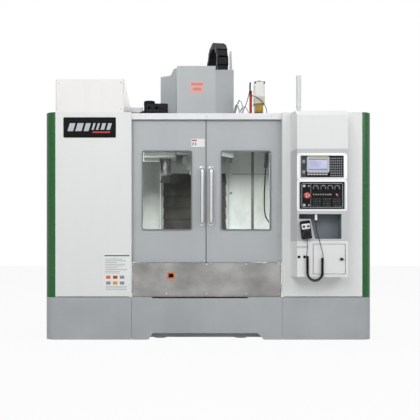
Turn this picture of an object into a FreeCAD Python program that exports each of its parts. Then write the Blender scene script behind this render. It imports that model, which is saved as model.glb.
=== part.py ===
import FreeCAD, Part

import math
import os

from FreeCAD import Vector

os.makedirs("parts", exist_ok=True)

# A vertical machining centre with twin sliding doors, in millimetres.
# +X is the operator's right, -Y the front, +Z up; the origin is on the floor, at the
# middle of the machine's width and of its depth.

# ---- overall ----
machine_width = 3100.0
front_y = -1050.0          # face of the white panels
enclosure_top = 2150.0
plinth_top = 400.0
sheet = 3.0                # folded panels
skirt_sheet = 5.0          # base skirt
skirt_flange = 60.0
running_gap = 0.3          # between pieces that move on each other
bearing_gap = 0.05         # a shaft in its bore
cover_gap = 0.5            # a folding cover's ends
panel_gap = 3.0            # seams between fixed panels
panel_depth = 45.0         # folded edges of the panels
panel_margin = 20.0        # folded foot, in from the panel's sides
corner_radius = 100.0      # rounded green corners
reveal = 8.0               # dark joint between skirt and panels
past = 1.0                 # cutters run past the faces that they open

# ---- base skirt ----
tray_low = (-573.0, 521.0)     # chip tray's mouth, at the floor
tray_high = (-528.0, 462.0)
tray_height = 62.0
tray_back = 75.0
tray_back_low = 16.0
tray_back_top = 120.0
tray_margin = 40.0

# ---- doors ----
door_centre = -18.0
door_width = 712.0
door_overlap = 26.0        # hidden behind the white panels
door_thickness = 40.0
door_recess = 75.0
door_bottom = 729.0
door_top = 2112.0
door_seam = 3.0
door_skin = 2.5
window_width = 475.0
window_height = 755.0
window_bottom = 1041.0
window_inner_margin = 138.0
window_rim = 6.0
window_proud = 4.0
window_lap = 3.0          # pane held in the rim
window_inset = 6.0
window_glass = 8.0
window_frame = 20.0        # solid round the opening
handle_length = 555.0
handle_radius = 17.0
handle_stand = 50.0        # grip axis forward of the door face
handle_bottom = 1086.0
handle_offset = 43.0       # from the seam
handle_bow = 3.0
handle_foot = 12.0         # where the bar turns to the door
handle_root = 6.0
handle_washer = 4.0
washer_height = 10.0
roller_radius = 14.0
roller_width = 14.0
roller_rise = 16.0         # roller axis over the door
roller_place = 90.0        # from the door's ends
roller_bracket = 60.0
roller_depth = 16.0        # bracket behind the door's face
bracket_sheet = 6.0
rail_height = 58.0
rail_depth = 130.0
rail_end_gap = 10.0
apron_recess = 46.0
apron_sheet = 2.0
apron_gap = 4.0            # under the doors
apron_lip = 60.0
apron_foot = 14.0
sill_depth = 78.0

# ---- machine axes ----
spindle_x = -70.0
spindle_y = front_y + 830.0
nose_z = 1655.0
table_top = 900.0
table_length = 1200.0
table_width = 600.0
table_thickness = 140.0
table_keep_inset = 50.0
slot_count = 5
slot_pitch = 100.0
slot_width = 18.0
slot_neck = 24.0
slot_foot_width = 30.0
slot_foot = 13.0
keep_width = 30.0          # strips that hold a slide on its ways
keep_depth = 40.0
end_cover_length = 150.0
end_cover_half = 270.0
end_cover_top = table_top - 58.0
end_cover_skirt = 42.0
end_cover_sheet = 2.0

# ---- bed ----
foot_height = 70.0
foot_radius = 60.0
foot_pad = 24.0
foot_stem = 27.0
foot_inset = 40.0          # from the bed's ends
foot_rear_inset = 70.0
foot_side = 390.0
foot_rear_side = 510.0
bed_front = front_y + 150.0
bed_top = 430.0
bed_arm_half = 430.0
bed_rear_half = 560.0
bed_channel_half = 110.0
bed_channel_rear = 170.0   # short of the column
bed_pocket_top = 250.0
bed_rib = spindle_y - 21.0
way_width = 90.0
y_way_height = 60.0
y_way_spread = 320.0
x_way_height = 60.0
x_way_spread = 215.0
z_way_depth = 60.0
z_way_spread = 300.0
screw_radius = 20.0
screw_bearing = 10.0       # solid in front of a screw's end
y_screw_z = 365.0
x_screw_z = 655.0
y_motor_face = bed_front + 100.0
y_screw_length = 1100.0
screw_end = 25.0
motor_size = 150.0
motor_length = 190.0
motor_flange = 18.0
motor_cap = 40.0
motor_step = 8.0
saddle_length = 1400.0
saddle_half = 330.0
saddle_channel_half = 110.0
saddle_channel_inset = 60.0
nut_half = 80.0
nut_seat_half = 60.0
nut_drop = 45.0
table_nut_half = 70.0
column_front = spindle_y + 650.0
column_width = 800.0
column_depth = 550.0
column_top = 2500.0
column_shelf = 25.0
shelf_half = 100.0
shelf_rear = 200.0         # short of the column's rear
way_top_gap = 20.0
casting_wall = 38.0
z_cover_foot = 1085.0
z_screw_foot = z_cover_foot - 43.0
cover_ledge = 20.0

# ---- head ----
head_plate_width = 740.0
head_plate_bottom = 1750.0
head_plate_top = column_top - 60.0
head_plate_depth = 45.0
head_arm_width = 300.0
head_arm_bottom = 1850.0
head_arm_top = 2330.0
head_barrel_radius = 112.0
head_nose_radius = 84.0
head_barrel_rise = 65.0    # over the spindle's nose
head_nose_rise = 12.0
z_nut_rise = 250.0
z_nut_height = 200.0
spindle_radius = 60.0
spindle_top = 2130.0
spindle_step = 16.0
spindle_nose = 10.0
taper_mouth_radius = 22.2
taper_depth = 65.0
drawbar_length = 60.0
spindle_motor_size = 230.0
spindle_motor_top = 2640.0
motor_fan = 60.0
cover_front = spindle_y - 230.0
cover_back = spindle_y + 520.0
cover_bottom = 1840.0
cover_top = 2765.0
cover_step = 40.0          # the right part is lower
cover_left = -292.0
cover_right = 110.0
cover_cheek_right = 322.0  # right side, behind its slanted face
cover_cheek_rear = spindle_y + 420.0
cover_wing_left = -465.0
cover_wing_front = spindle_y + 140.0
cover_wing_bottom = 2290.0
cover_slope = 85.0         # roof's rise to the rear
cover_cheek_slant = 220.0
cover_wing_step = 12.0
cover_cheek_rise = 64.0    # cheek's top, over its slanted face
cover_lap = 60.0           # forms run into each other
shoulder_run = 90.0
shoulder_rise = 12.0
tab_bottom = 1860.0        # tabs that hold the cover to the head's plate
tab_top = 2420.0
tab_right = 285.0
bracket_top = 3030.0
bracket_sheet_upright = 4.0
bracket_offset = 81.0      # from the chain's middle
bracket_depth = 90.0
bracket_tip = 14.0

# ---- energy chain ----
chain_width = 125.0
chain_thickness = 65.0
chain_pitch = 88.0
chain_wall = 9.0
chain_neck = 3.0
chain_gap = 7.0
chain_foot = 2330.0
chain_rise = 2915.0        # where the bend starts
chain_front = (216.0, spindle_y + 180.0)
chain_rear = (140.0, column_front + 50.0)
chain_room = 60.0          # half of the hole in the cover's roof
chain_shelf = 40.0

# ---- tool changer ----
arm_reach = 340.0
arm_thickness = 30.0
arm_clearance = 10.0       # below the spindle nose
arm_bar_width = 92.0
jaw_outer = 60.0
jaw_inner = 33.0
jaw_mouth = 54.0
jaw_depth = 90.0
arm_shaft_radius = 25.0
arm_boss_radius = 52.0
arm_boss = 12.0
arm_shaft_play = 10.0
hub_radius = 57.0
hub_depth = 39.0           # seat of the changer's hub
hub_length = 130.0         # below the gear box
hub_flange_radius = 65.0
hub_flange = 29.0
hub_flange_gap = 1.0
cam_box_bottom = 1830.0
cam_box_top = 2120.0
cam_box_left = 230.0       # from the arm's axis
cam_box_right = 100.0
cam_box_half = 130.0
beam_bottom = 1950.0
beam_rear = column_front + 270.0
beam_foot_front = column_front + 10.0
beam_foot_bottom = 1905.0
beam_foot_sheet = 15.0
changer_motor_radius = 59.0
changer_motor_top = 2447.0
changer_motor_x = -583.0
changer_box_left = 40.0    # from the motor's axis
changer_box_width = 159.0
changer_box_bottom = 2315.0
changer_box_top = 2411.0
changer_box_front = 80.0
changer_box_rear = 60.0
gland_radius = 13.0
gland_height = 14.0
magazine_z = 2040.0
magazine_x = -830.0        # tips of the holders, towards the spindle
pot_circle = 300.0
pot_radius = 32.0
pot_length = 110.0
pot_count = 24
disc_thickness = 15.0
disc_margin = 40.0
holder_length = 120.0
holder_flange = 26.0
holder_body = 44.0
holder_tip_radius = 15.0
axle_radius = 35.0         # magazine axle
axle_end = 25.0
disc_hub = 35.0
disc_hub_length = 90.0

# ---- magazine guard and inner sheets ----
guard_top = 2461.0
guard_right = -801.0
guard_depth = 1250.0
guard_round = 12.0
guard_inset = 2.0
inner_left = -1400.0
inner_right = 1300.0
inner_rise = 4.0           # floor sheets over the skirt's top
inner_rear_gap = 5.0       # short of the column
inner_edge_gap = 5.0       # beside the column
inner_floor_gap = 10.0     # beside the bed
partition_x = -815.0
partition_front = spindle_y - 400.0
magazine_floor = 1640.0
shutter_low = 1660.0       # opening for the changer's arm
shutter_top = 1860.0
shutter_half = 110.0
roof_left = 430.0          # roof plate under the lubricator

# ---- smaller sizes ----
way_cover_depth = 32.7       # ledge under the upright cover
z_bearing_half = 55.0
z_bearing_drop = 90.0
knob_seat = 14.0
knob_gap = 1.0
knob_shaft = 9.0
knob_taper = 0.8
stop_seat = 26.0
stop_stem = 15.0
side_foot = 30.0
inner_back_top = 1900.0
plug_half = 20.0
motor_round = 30.0
motor_box_out = 35.0
motor_box_half = 50.0
motor_box_height = 92.0
pleat_step = 4.0
y_cover_out = 60.0
y_cover_inset = 20.0
y_cover_height = 54.5
y_pleats = 12
z_cover_thickness = 32.0
z_pleats = 26
hub_play = 2.0
hub_end = 4.0
gland_places = ((120.0, 7.0), (166.0, -11.4))
pot_wall = 4.0
holder_shoulder = 6.0

# ---- console ----
console_reach = 175.0      # console face forward of the white panels
console_left = 798.0
console_right = 1266.0
console_slant = 27.0
console_bottom = 598.0
console_top = 2135.0
console_bevel = 50.0
bezel_bottom = 928.0
bezel_top = 1776.0
bezel_wall = 14.0
bezel_rear_wall = 8.0
bezel_front_wall = 12.0
display_left = 825.0
display_width = 404.0
display_height = 211.0
display_bottom = 1506.0
display_depth = 60.0
screen_place = (75.0, 63.0)    # from the display's lower left corner
screen_width = 178.0
screen_height = 122.0
screen_sink = 4.0
soft_key_place = (66.0, 27.0)
soft_key_pitch = 27.0
soft_key_width = 20.0
soft_key_height = 12.0
soft_key_count = 7
letter_key_place = (276.0, 15.0)
letter_key_pitch = (19.0, 22.5)
letter_key_grid = (6, 8)
machine_panel_height = 248.0
machine_panel_bottom = 1222.0
machine_panel_frame = 10.0
machine_panel_sink = 1.5
panel_proud = 8.0
panel_seat = 20.0
divider_place = 96.0
divider_width = 2.0
key_size = 13.0
key_proud = 3.0
key_block_place = (116.0, 22.0)
key_block_pitch = 92.0
key_block_count = 3
key_grid = (4, 4)
key_pitch = (19.0, 21.0)
upper_key_z = 126.0
upper_key_pitch = 22.0
upper_key_count = 7
button_place = 36.0            # round buttons, from the panel's left
button_heights = (210.0, 34.0)
button_radius = 9.0
button_height = 9.0
lamp_place = 78.0
lamp_radius = 6.5
lamp_height = 7.0
stop_place = (display_left + 60.0, machine_panel_bottom + 122.0)
stop_radius = 27.0
stop_stem_radius = 9.0
stop_travel_gap = 9.0
stop_head = 13.0
stop_collar = 8.0
stop_round = 5.0
knob_radius = 15.0
knob_shaft_radius = 5.0
knob_skirt = 6.0
knob_grip = 13.0
knob_bar = 3.0
knob_height = 194.0
spindle_knob_place = (display_left + 144.0, machine_panel_bottom + knob_height)
feed_knob_place = (display_left + 212.0, machine_panel_bottom + knob_height)
fixed_knob_place = (display_left + 340.0, machine_panel_bottom + knob_height)
pocket_left = 816.0
pocket_right = 1205.0
pocket_bottom = 948.0
pocket_top = 1176.0
pocket_depth = 120.0
holder_top_width = 105.0
holder_foot_width = 148.0
holder_drop = 45.0
holder_depth = 30.0
storage_left = 947.0
storage_right = 1239.0
storage_inset = 28.0
storage_hinge_room = 50.0
storage_gap = 2.0
storage_knob_side = 33.0
storage_knob_z = 762.0
storage_knob_radius = 13.0
storage_knob_reach = 9.0
storage_wing = (36.0, 11.0, 10.0)
storage_barrel_radius = 4.0
storage_barrel_place = 4.0
storage_barrel_z = 720.0
storage_barrel_length = 60.0

# ---- pendant and its cord ----
pendant_reach = 75.0       # hand wheel's peg forward of the console face
pendant_x = pocket_left + 57.0
pendant_z = pocket_bottom + 82.0
pendant_length = 168.0
pendant_width = 88.0
pendant_thickness = 44.0
pendant_round = 12.0
pendant_tilt = -7.0
waist_radius = 16.0
waist_out = 8.0
waist_low = 30.0
waist_top = 20.0
selector_radius = 9.0
selector_height = 13.0
selector_side = 20.0
selector_rise = 30.0
wheel_radius = 30.0
wheel_height = 13.0
wheel_gap = 0.5
wheel_round = 3.0
wheel_drop = 38.0          # pulse wheel below the pendant's middle
wheel_shaft_radius = 5.0
wheel_shaft = 15.0
peg_radius = 5.0
peg_place = (17.0, 8.0)
lead_diameter = 6.0
coil_diameter = 25.0
coil_wire = 6.0
coil_pitch = 7.5
socket_radius = 16.0
relief_radius = 8.0
relief_length = 16.0

# ---- roof ----
lubricator_place = (524.0, front_y + 500.0)
lubricator_base = 8.0
lubricator_pump = 178.0
lubricator_tank = 224.0
lubricator_width = 160.0
lubricator_depth = 130.0
lubricator_round = 18.0
filler_radius = 24.0
filler_height = 18.0
gauge_radius = 14.0
gauge_height = 320.0
stack_place = (900.0, front_y + 250.0)
stack_radius = 25.0
stack_top = 2563.0
stack_foot = 4.0
stack_foot_half = 45.0
stack_fork = 78.0
stack_fork_out = 38.0
stack_fork_in = 14.0
stack_fork_bar = 10.0
stack_neck_radius = 20.0
stack_neck = 100.0
lamp_pitch = 78.0
lamp_groove = 3.0

# ---- rear ----
cabinet_stand = 5.0        # off the column
cabinet_left = -470.0
cabinet_width = 1200.0
cabinet_depth = 287.0
cabinet_bottom = 470.0
cabinet_top = 2060.0
cabinet_sheet = 3.0
cabinet_handle = 25.0
cabinet_plate_inset = 60.0
cabinet_plate = 20.0
device_rows = 4
device_columns = 5
device_size = (130.0, 90.0, 200.0)
device_pitch = (200.0, 360.0)
device_place = (110.0, 160.0)
bracket_height = 80.0
bracket_width = 100.0
bracket_places = (100.0, 600.0)
bracket_inset = 300.0
rear_door_gap = 2.0
louvre_count = 10
louvre_pitch = 26.0
louvre_place = (420.0, 220.0)
louvre_size = (360.0, 12.0, 20.0)
rear_grip_side = 70.0
rear_grip_width = 25.0
rear_grip_half = 80.0
rear_hinge_radius = 5.5
rear_hinge_place = 3.0
rear_hinge_inset = 100.0

# ---- small sizes of the roof and pendant pieces ----
lubricator_step = 5.0
pump_left = 56.0
pump_right = 22.0
tank_left = 47.0
tank_right = 6.0
pump_half = 50.0
filler_side = 20.0
gauge_side = -62.0
lamp_count = 4
lamp_sink = 2.0
stack_neck_start = 70.0
wheel_seat = 20.0

half_width = machine_width / 2
console_face = front_y - console_reach
front_limit = console_face - pendant_reach
panel_floor = console_face - panel_proud + machine_panel_sink
flat_left = -half_width + corner_radius
flat_right = half_width - corner_radius
opening_left = door_centre - door_seam / 2 - door_width
opening_right = door_centre + door_seam / 2 + door_width
door_face = front_y + door_recess
column_rear = column_front + column_depth
side_rear = column_rear - 20.0
roof_front = front_y + panel_depth + rail_depth
roof_rear = column_rear - 180.0
inner_front = roof_front + 5.0
cabinet_front = column_rear + cabinet_stand
cabinet_door_face = cabinet_front + cabinet_depth + cabinet_sheet
column_left = spindle_x - column_width / 2
column_right = spindle_x + column_width / 2
arm_x = spindle_x - arm_reach
z_screw_y = column_front - z_way_depth / 2
plate_rear = column_front - z_way_depth - running_gap
tab_rear = plate_rear - head_plate_depth
saddle_bottom = bed_top + y_way_height + running_gap
saddle_top = table_top - table_thickness - x_way_height
disc_x = magazine_x - holder_length - pot_length - disc_thickness
cord_y = console_face - 22.0
coil_left = (888.5, 791.0)     # x and top of the left leg
coil_right = (1025.0, 774.0)
coil_bend = (956.75, 634.0, 68.25)
cord_end_left = (881.5, cord_y - 8.0, 805.0)
cord_end_right = (1032.0, cord_y + 8.0, 788.0)
socket_place = (978.5, console_face + 35.0, 1104.0)
cord_route_upper = [(883.2, cord_y, 946.6), (888.9, cord_y, 900.0), (886.0, cord_y - 5.0, 852.0),
                    (881.5, cord_y - 8.0, 822.0), cord_end_left]
cord_route_lower = [socket_place, (978.5, console_face + 35.0, 1062.0),
                    (981.0, console_face + 13.0, 1018.0), (990.0, cord_y + 7.0, 966.0),
                    (1004.0, cord_y - 3.0, 905.0), (1020.0, cord_y + 1.0, 846.0),
                    (1032.0, cord_y + 8.0, 815.0), cord_end_right]
made = {}


def block(x0, x1, y0, y1, z0, z1):
    """A box between two corners."""
    return Part.makeBox(x1 - x0, y1 - y0, z1 - z0, Vector(x0, y0, z0))


def between(a, b, y0, y1, z0, z1):
    """A box whose two X limits come in either order."""
    return block(min(a, b), max(a, b), y0, y1, z0, z1)


def around_x(x, half, y0, y1, z0, z1):
    """A box centred on a place in X."""
    return block(x - half, x + half, y0, y1, z0, z1)


def rod(radius, length, x, y, z, direction=Vector(0, 0, 1)):
    """A cylinder that starts at a point and runs along a direction."""
    return Part.makeCylinder(radius, length, Vector(x, y, z), direction)


def stud(radius, length, x, y, z):
    """A cylinder that stands forward of a face."""
    return rod(radius, length, x, y, z, Vector(0, -1, 0))


def prism(points, direction):
    """A polygon's closed face, swept along a vector."""
    corners = [Vector(*point) for point in points]
    return Part.Face(Part.makePolygon(corners + corners[:1])).extrude(Vector(*direction))


def plan(points, z0, z1):
    """A polygon in plan, carried from one height to another."""
    return prism([(x, y, z0) for x, y in points], (0, 0, z1 - z0))


def join(shapes):
    """Shapes that touch or overlap, made one solid."""
    whole = shapes[0]
    if len(shapes) > 1:
        whole = whole.fuse(shapes[1:])
    return whole.removeSplitter()


def rounded(shape, radius, test):
    """The shape with the straight edges that pass a test rounded."""
    edges = [edge for edge in shape.Edges if test(edge)]
    return shape.makeFillet(radius, edges)


def runs_along(edge, axis):
    """Whether a straight edge lies along one of the three axes."""
    if not isinstance(edge.Curve, Part.Line):
        return False
    return abs(abs(edge.Curve.Direction[axis]) - 1) < 1e-6


def upright_at(edge, x, y):
    """Whether an edge stands upright at a place in plan."""
    middle = edge.CenterOfMass
    return runs_along(edge, 2) and abs(middle.x - x) < 1 and abs(middle.y - y) < 1


def save(name, shape):
    """Write one node; a group of separate solids comes in as a list."""
    if isinstance(shape, list):
        shape = Part.makeCompound(shape)
    if shape.ShapeType == "Compound" and len(shape.Solids) == 1:
        shape = shape.Solids[0]
    made[name] = shape
    shape.exportStep("parts/" + name + ".step")
    print(name, len(shape.Solids), shape.isValid(), round(shape.Volume / 1e6, 2))


def bed():
    """T-shaped casting, cored inside, with two box ways and a screw channel."""
    screw_end = column_front - bed_channel_rear
    pieces = [around_x(spindle_x, bed_arm_half, bed_front, column_front, foot_height, bed_top),
              around_x(spindle_x, bed_rear_half, column_front, column_rear, foot_height, bed_top)]
    for side in (-1, 1):
        pieces.append(around_x(spindle_x + side * y_way_spread, way_width / 2, bed_front, column_front,
                               bed_top, bed_top + y_way_height))
    cuts = [around_x(spindle_x, bed_channel_half, bed_front, screw_end,
                     y_screw_z - motor_size / 2, bed_top)]
    cuts.append(rod(screw_radius + bearing_gap, nut_seat_half, spindle_x, screw_end - screw_bearing,
                    y_screw_z, Vector(0, 1, 0)))
    floor = foot_height + casting_wall
    spans = ((bed_front + casting_wall, bed_rib - casting_wall / 2),
             (bed_rib + casting_wall / 2, column_front - casting_wall))
    for side in (-1, 1):
        near = spindle_x + side * casting_wall / 2
        for y0, y1 in spans:
            cuts.append(between(near, spindle_x + side * (bed_arm_half - casting_wall), y0, y1,
                                floor, bed_pocket_top))
        cuts.append(between(near, spindle_x + side * (bed_rear_half - casting_wall),
                            column_front + casting_wall, column_rear - casting_wall,
                            floor, bed_top - casting_wall))
    return join(pieces).cut(cuts)


def levelling_feet():
    """Round pads with a jacking bolt, under the bed's outer wall."""
    feet = []
    rows = ((foot_side, bed_front + foot_inset), (foot_side, spindle_y - screw_bearing),
            (foot_rear_side, column_front + foot_rear_inset),
            (foot_rear_side, column_rear - foot_rear_inset))
    for reach, y in rows:
        for side in (-1, 1):
            x = spindle_x + side * reach
            feet.append(join([rod(foot_radius, foot_pad, x, y, 0),
                              rod(foot_stem, foot_height - foot_pad, x, y, foot_pad)]))
    return feet


def column():
    """Hollow casting with two box ways up its front and a motor shelf at the top."""
    body = block(column_left, column_right, column_front, column_rear, bed_top, column_top)
    hollow = block(column_left + casting_wall, column_right - casting_wall,
                   column_front + casting_wall, column_rear - casting_wall,
                   bed_top + casting_wall, column_top - casting_wall)
    pieces = [body.cut(hollow)]
    for side in (-1, 1):
        pieces.append(around_x(spindle_x + side * z_way_spread, way_width / 2,
                               column_front - z_way_depth, column_front,
                               z_cover_foot - screw_bearing / 2, column_top - way_top_gap))
    pieces.append(around_x(spindle_x, shelf_half, z_screw_y - motor_size / 2, column_rear - shelf_rear,
                           column_top, column_top + column_shelf))
    pieces.append(around_x(spindle_x, head_plate_width / 2, plate_rear - way_cover_depth, column_front,
                           z_cover_foot - cover_ledge, z_cover_foot - cover_gap))
    pieces.append(around_x(spindle_x, nut_seat_half, z_screw_y - z_bearing_half, column_front,
                           z_cover_foot - z_bearing_drop, z_cover_foot - cover_ledge + screw_bearing / 2))
    bore = rod(screw_radius + bearing_gap, column_shelf + screw_bearing, spindle_x, z_screw_y,
               column_top - screw_bearing / 2)
    seat = rod(screw_radius + bearing_gap, nut_drop + screw_bearing / 2, spindle_x, z_screw_y,
               z_cover_foot - nut_drop)
    return join(pieces).cut([bore, seat])


def skirt_corner(side):
    """One end of the base skirt: front and side in one sheet, round at the corner."""
    seam = opening_left if side < 0 else opening_right
    outer_x = side * half_width
    x0, x1 = sorted((seam + side * panel_gap / 2, outer_x))
    solid = block(x0, x1, front_y, side_rear, 0, plinth_top)
    solid = rounded(solid, corner_radius, lambda edge: upright_at(edge, outer_x, front_y))
    inner_x = outer_x - side * skirt_sheet
    inner_y = front_y + skirt_sheet
    open_x = seam - side * panel_depth
    hollow = between(open_x, inner_x, inner_y, side_rear + past, -past, plinth_top - skirt_sheet)
    hollow = rounded(hollow, corner_radius - skirt_sheet, lambda edge: upright_at(edge, inner_x, inner_y))
    way_up = between(open_x, outer_x - side * skirt_flange, front_y + skirt_flange, side_rear + past,
                     plinth_top - skirt_sheet - past, plinth_top + past)
    return solid.cut([hollow, way_up])


def plinth_centre():
    """Front skirt between the corners, cut away low down for the chip tray."""
    x0 = opening_left + panel_gap / 2
    x1 = opening_right - panel_gap / 2
    inner_y = front_y + skirt_sheet
    face = block(x0, x1, front_y, inner_y, 0, plinth_top)
    flange = block(x0, x1, front_y, front_y + skirt_flange, plinth_top - skirt_sheet, plinth_top)
    mouth = [(tray_low[0], front_y - past, -past), (tray_low[1], front_y - past, -past),
             (tray_high[1], front_y - past, tray_height), (tray_high[0], front_y - past, tray_height)]
    skirt = join([face, flange]).cut(prism(mouth, (0, skirt_sheet + 2 * past, 0)))
    left = tray_low[0] - tray_margin
    right = tray_low[1] + tray_margin
    back = block(left, right, front_y + tray_back, front_y + tray_back + skirt_sheet,
                 tray_back_low, tray_back_top)
    webs = [block(x, x + skirt_sheet, inner_y, front_y + tray_back, tray_back_low, tray_back_top)
            for x in (left, right - skirt_sheet)]
    return join([skirt, back] + webs)


def corner_trim(side):
    """Quarter-round painted sheet over the enclosure's front corner."""
    centre = Vector(side * (half_width - corner_radius), front_y + corner_radius, plinth_top)
    height = enclosure_top - plinth_top
    up = Vector(0, 0, 1)
    start = 180 if side < 0 else 270
    ring = Part.makeCylinder(corner_radius, height, centre, up, 90)
    core = Part.makeCylinder(corner_radius - sheet, height, centre, up, 90)
    shell = ring.cut(core)
    shell.rotate(centre, up, start)
    return shell


def folded_panel(x0, x1, z0, z1, y, depth):
    """Sheet facing forward with its sides and top turned back and a foot set behind."""
    low = z0 + reveal
    return [block(x0, x1, y, y + sheet, low, z1),
            block(x0, x1, y, y + depth, z1 - sheet, z1),
            block(x0, x1, y + sheet, y + depth, low, low + sheet),
            block(x0 + panel_margin, x1 - panel_margin, y + depth - sheet, y + depth, z0, low + sheet),
            block(x0, x0 + sheet, y, y + depth, low, z1),
            block(x1 - sheet, x1, y, y + depth, low, z1)]


def left_front_panel():
    """White panel at the left of the doors."""
    return join(folded_panel(flat_left, opening_left, plinth_top, enclosure_top, front_y, panel_depth))


def magazine_guard():
    """White box over the tool magazine, open below and at the back."""
    x0 = flat_left + guard_inset
    rear = front_y + guard_depth
    outer = block(x0, guard_right, front_y, rear, enclosure_top, guard_top)
    outer = rounded(outer, guard_round, lambda edge: upright_at(edge, x0, front_y)
                    or upright_at(edge, guard_right, front_y))
    inner = block(x0 + sheet, guard_right - sheet, front_y + sheet, rear - sheet,
                  enclosure_top - past, guard_top - sheet)
    return outer.cut(inner)


def console_outline(z0, z1, inset=0.0, top_bevel=0.0):
    """The console's solid outline in plan, slanted on the door side."""
    points = [(console_left - console_slant + inset, front_y),
              (console_left + inset, console_face + inset),
              (console_right - inset, console_face + inset),
              (console_right - inset, front_y)]
    solid = plan(points, z0, z1)
    if top_bevel:
        edges = [edge for edge in solid.Edges
                 if runs_along(edge, 0) and abs(edge.CenterOfMass.z - z1) < 1
                 and abs(edge.CenterOfMass.y - console_face - inset) < 1]
        solid = solid.makeChamfer(top_bevel, edges)
    return solid


def console_housing():
    """Right front panel with the console's white upper and lower boxes, one weldment."""
    pieces = folded_panel(opening_right, flat_right, plinth_top, enclosure_top, front_y, panel_depth)
    upper = console_outline(bezel_top, console_top, 0.0, console_bevel)
    upper_hollow = console_outline(bezel_top + sheet, console_top - sheet, sheet, console_bevel)
    lower = console_outline(console_bottom, bezel_bottom)
    lower_hollow = block(storage_left - storage_hinge_room, console_right - 2 * sheet,
                         console_face + sheet, front_y, console_bottom + sheet, bezel_bottom - sheet)
    door_hole = block(storage_left, storage_right, console_face - past, console_face + sheet + past,
                      console_bottom + storage_inset, bezel_bottom - storage_inset)
    pieces.append(upper.cut(upper_hollow))
    pieces.append(lower.cut([lower_hollow, door_hole]))
    return join(pieces)


def console_bezel():
    """Grey middle of the console, with the panel recess and the pendant's pocket."""
    body = console_outline(bezel_bottom, bezel_top)
    inside = block(console_left + bezel_wall, console_right - bezel_rear_wall,
                   console_face + bezel_front_wall, front_y + past,
                   pocket_top + bezel_wall, bezel_top - bezel_rear_wall)
    holes = [block(display_left, display_left + display_width, console_face - past,
                   console_face + panel_seat, low, low + height)
             for low, height in ((display_bottom, display_height),
                                 (machine_panel_bottom, machine_panel_height))]
    pocket = block(pocket_left, pocket_right, console_face - past, console_face + pocket_depth,
                   pocket_bottom, pocket_top)
    holder = prism([(pocket_left, console_face, pocket_bottom),
                    (pocket_left + holder_foot_width, console_face, pocket_bottom),
                    (pocket_left + holder_top_width, console_face, pocket_top - holder_drop),
                    (pocket_left, console_face, pocket_top - holder_drop)], (0, holder_depth, 0))
    return join([body.cut([inside, pocket] + holes), holder])


def key(x, z, width, height, y, proud):
    """A key that stands forward of the panel's face."""
    return block(x, x + width, y - proud, y, z, z + height)


def display_unit():
    """Screen and keypad housing: a shallow frame, sunk screen, soft keys and key rows."""
    face = console_face - panel_proud
    body = block(display_left, display_left + display_width, face, console_face + display_depth,
                 display_bottom, display_bottom + display_height)
    x = display_left + screen_place[0]
    z = display_bottom + screen_place[1]
    screen = block(x, x + screen_width, face - past, face + screen_sink, z, z + screen_height)
    keys = []
    for number in range(soft_key_count):
        keys.append(key(display_left + soft_key_place[0] + number * soft_key_pitch,
                        display_bottom + soft_key_place[1], soft_key_width, soft_key_height,
                        face, key_proud))
    for row in range(letter_key_grid[1]):
        for number in range(letter_key_grid[0]):
            keys.append(key(display_left + letter_key_place[0] + number * letter_key_pitch[0],
                            display_bottom + letter_key_place[1] + row * letter_key_pitch[1],
                            key_size, key_size, face, key_proud))
    return join([body.cut(screen)] + keys)


def panel_keys():
    """Places of the keys on the machine operation panel."""
    places = []
    for group in range(key_block_count):
        for row in range(key_grid[1]):
            for number in range(key_grid[0]):
                places.append((display_left + key_block_place[0] + group * key_block_pitch
                               + number * key_pitch[0],
                               machine_panel_bottom + key_block_place[1] + row * key_pitch[1]))
    for number in range(upper_key_count):
        places.append((display_left + key_block_place[0] + number * upper_key_pitch,
                       machine_panel_bottom + upper_key_z))
    return places


def machine_panel():
    """Operation panel: a framed plate with keys, round buttons and fixed selector rings."""
    left = display_left
    right = display_left + display_width
    low = machine_panel_bottom
    top = machine_panel_bottom + machine_panel_height
    face = console_face - panel_proud
    edge = machine_panel_frame
    body = block(left, right, face, console_face + display_depth, low, top)
    body = body.cut(block(left + edge, right - edge, face - past, panel_floor, low + edge, top - edge))
    pieces = [body]
    for x, z in panel_keys():
        pieces.append(key(x, z, key_size, key_size, panel_floor, key_proud + machine_panel_sink))
    for height in button_heights:
        pieces.append(stud(button_radius, button_height, left + button_place, panel_floor, low + height))
        pieces.append(stud(lamp_radius, lamp_height, left + lamp_place, panel_floor, low + height))
    pieces.append(block(left + divider_place, left + divider_place + divider_width, face, panel_floor,
                        low + edge, top - edge))
    pieces.append(stud(knob_radius, knob_skirt + screw_bearing, fixed_knob_place[0], panel_floor,
                       fixed_knob_place[1]))
    seats = [rod(knob_shaft_radius + bearing_gap, knob_seat, x, face - past, z, Vector(0, 1, 0))
             for x, z in (spindle_knob_place, feed_knob_place)]
    seats.append(rod(stop_stem_radius + bearing_gap, stop_seat, stop_place[0], face - past,
                     stop_place[1], Vector(0, 1, 0)))
    return join(pieces).cut(seats)


def knob(x, z):
    """Selector knob with a grip bar, on a short shaft."""
    base = panel_floor - knob_gap
    top = base - knob_skirt
    shaft = stud(knob_shaft_radius, knob_shaft + knob_gap, x, panel_floor + knob_shaft, z)
    skirt = stud(knob_radius, knob_skirt, x, base, z)
    grip = stud(knob_radius * knob_taper, knob_grip, x, top, z)
    half = knob_radius * knob_taper
    bar = block(x - knob_bar, x + knob_bar, top - knob_grip - knob_bar, top, z - half, z + half)
    return join([shaft, skirt, grip, bar])


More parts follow.
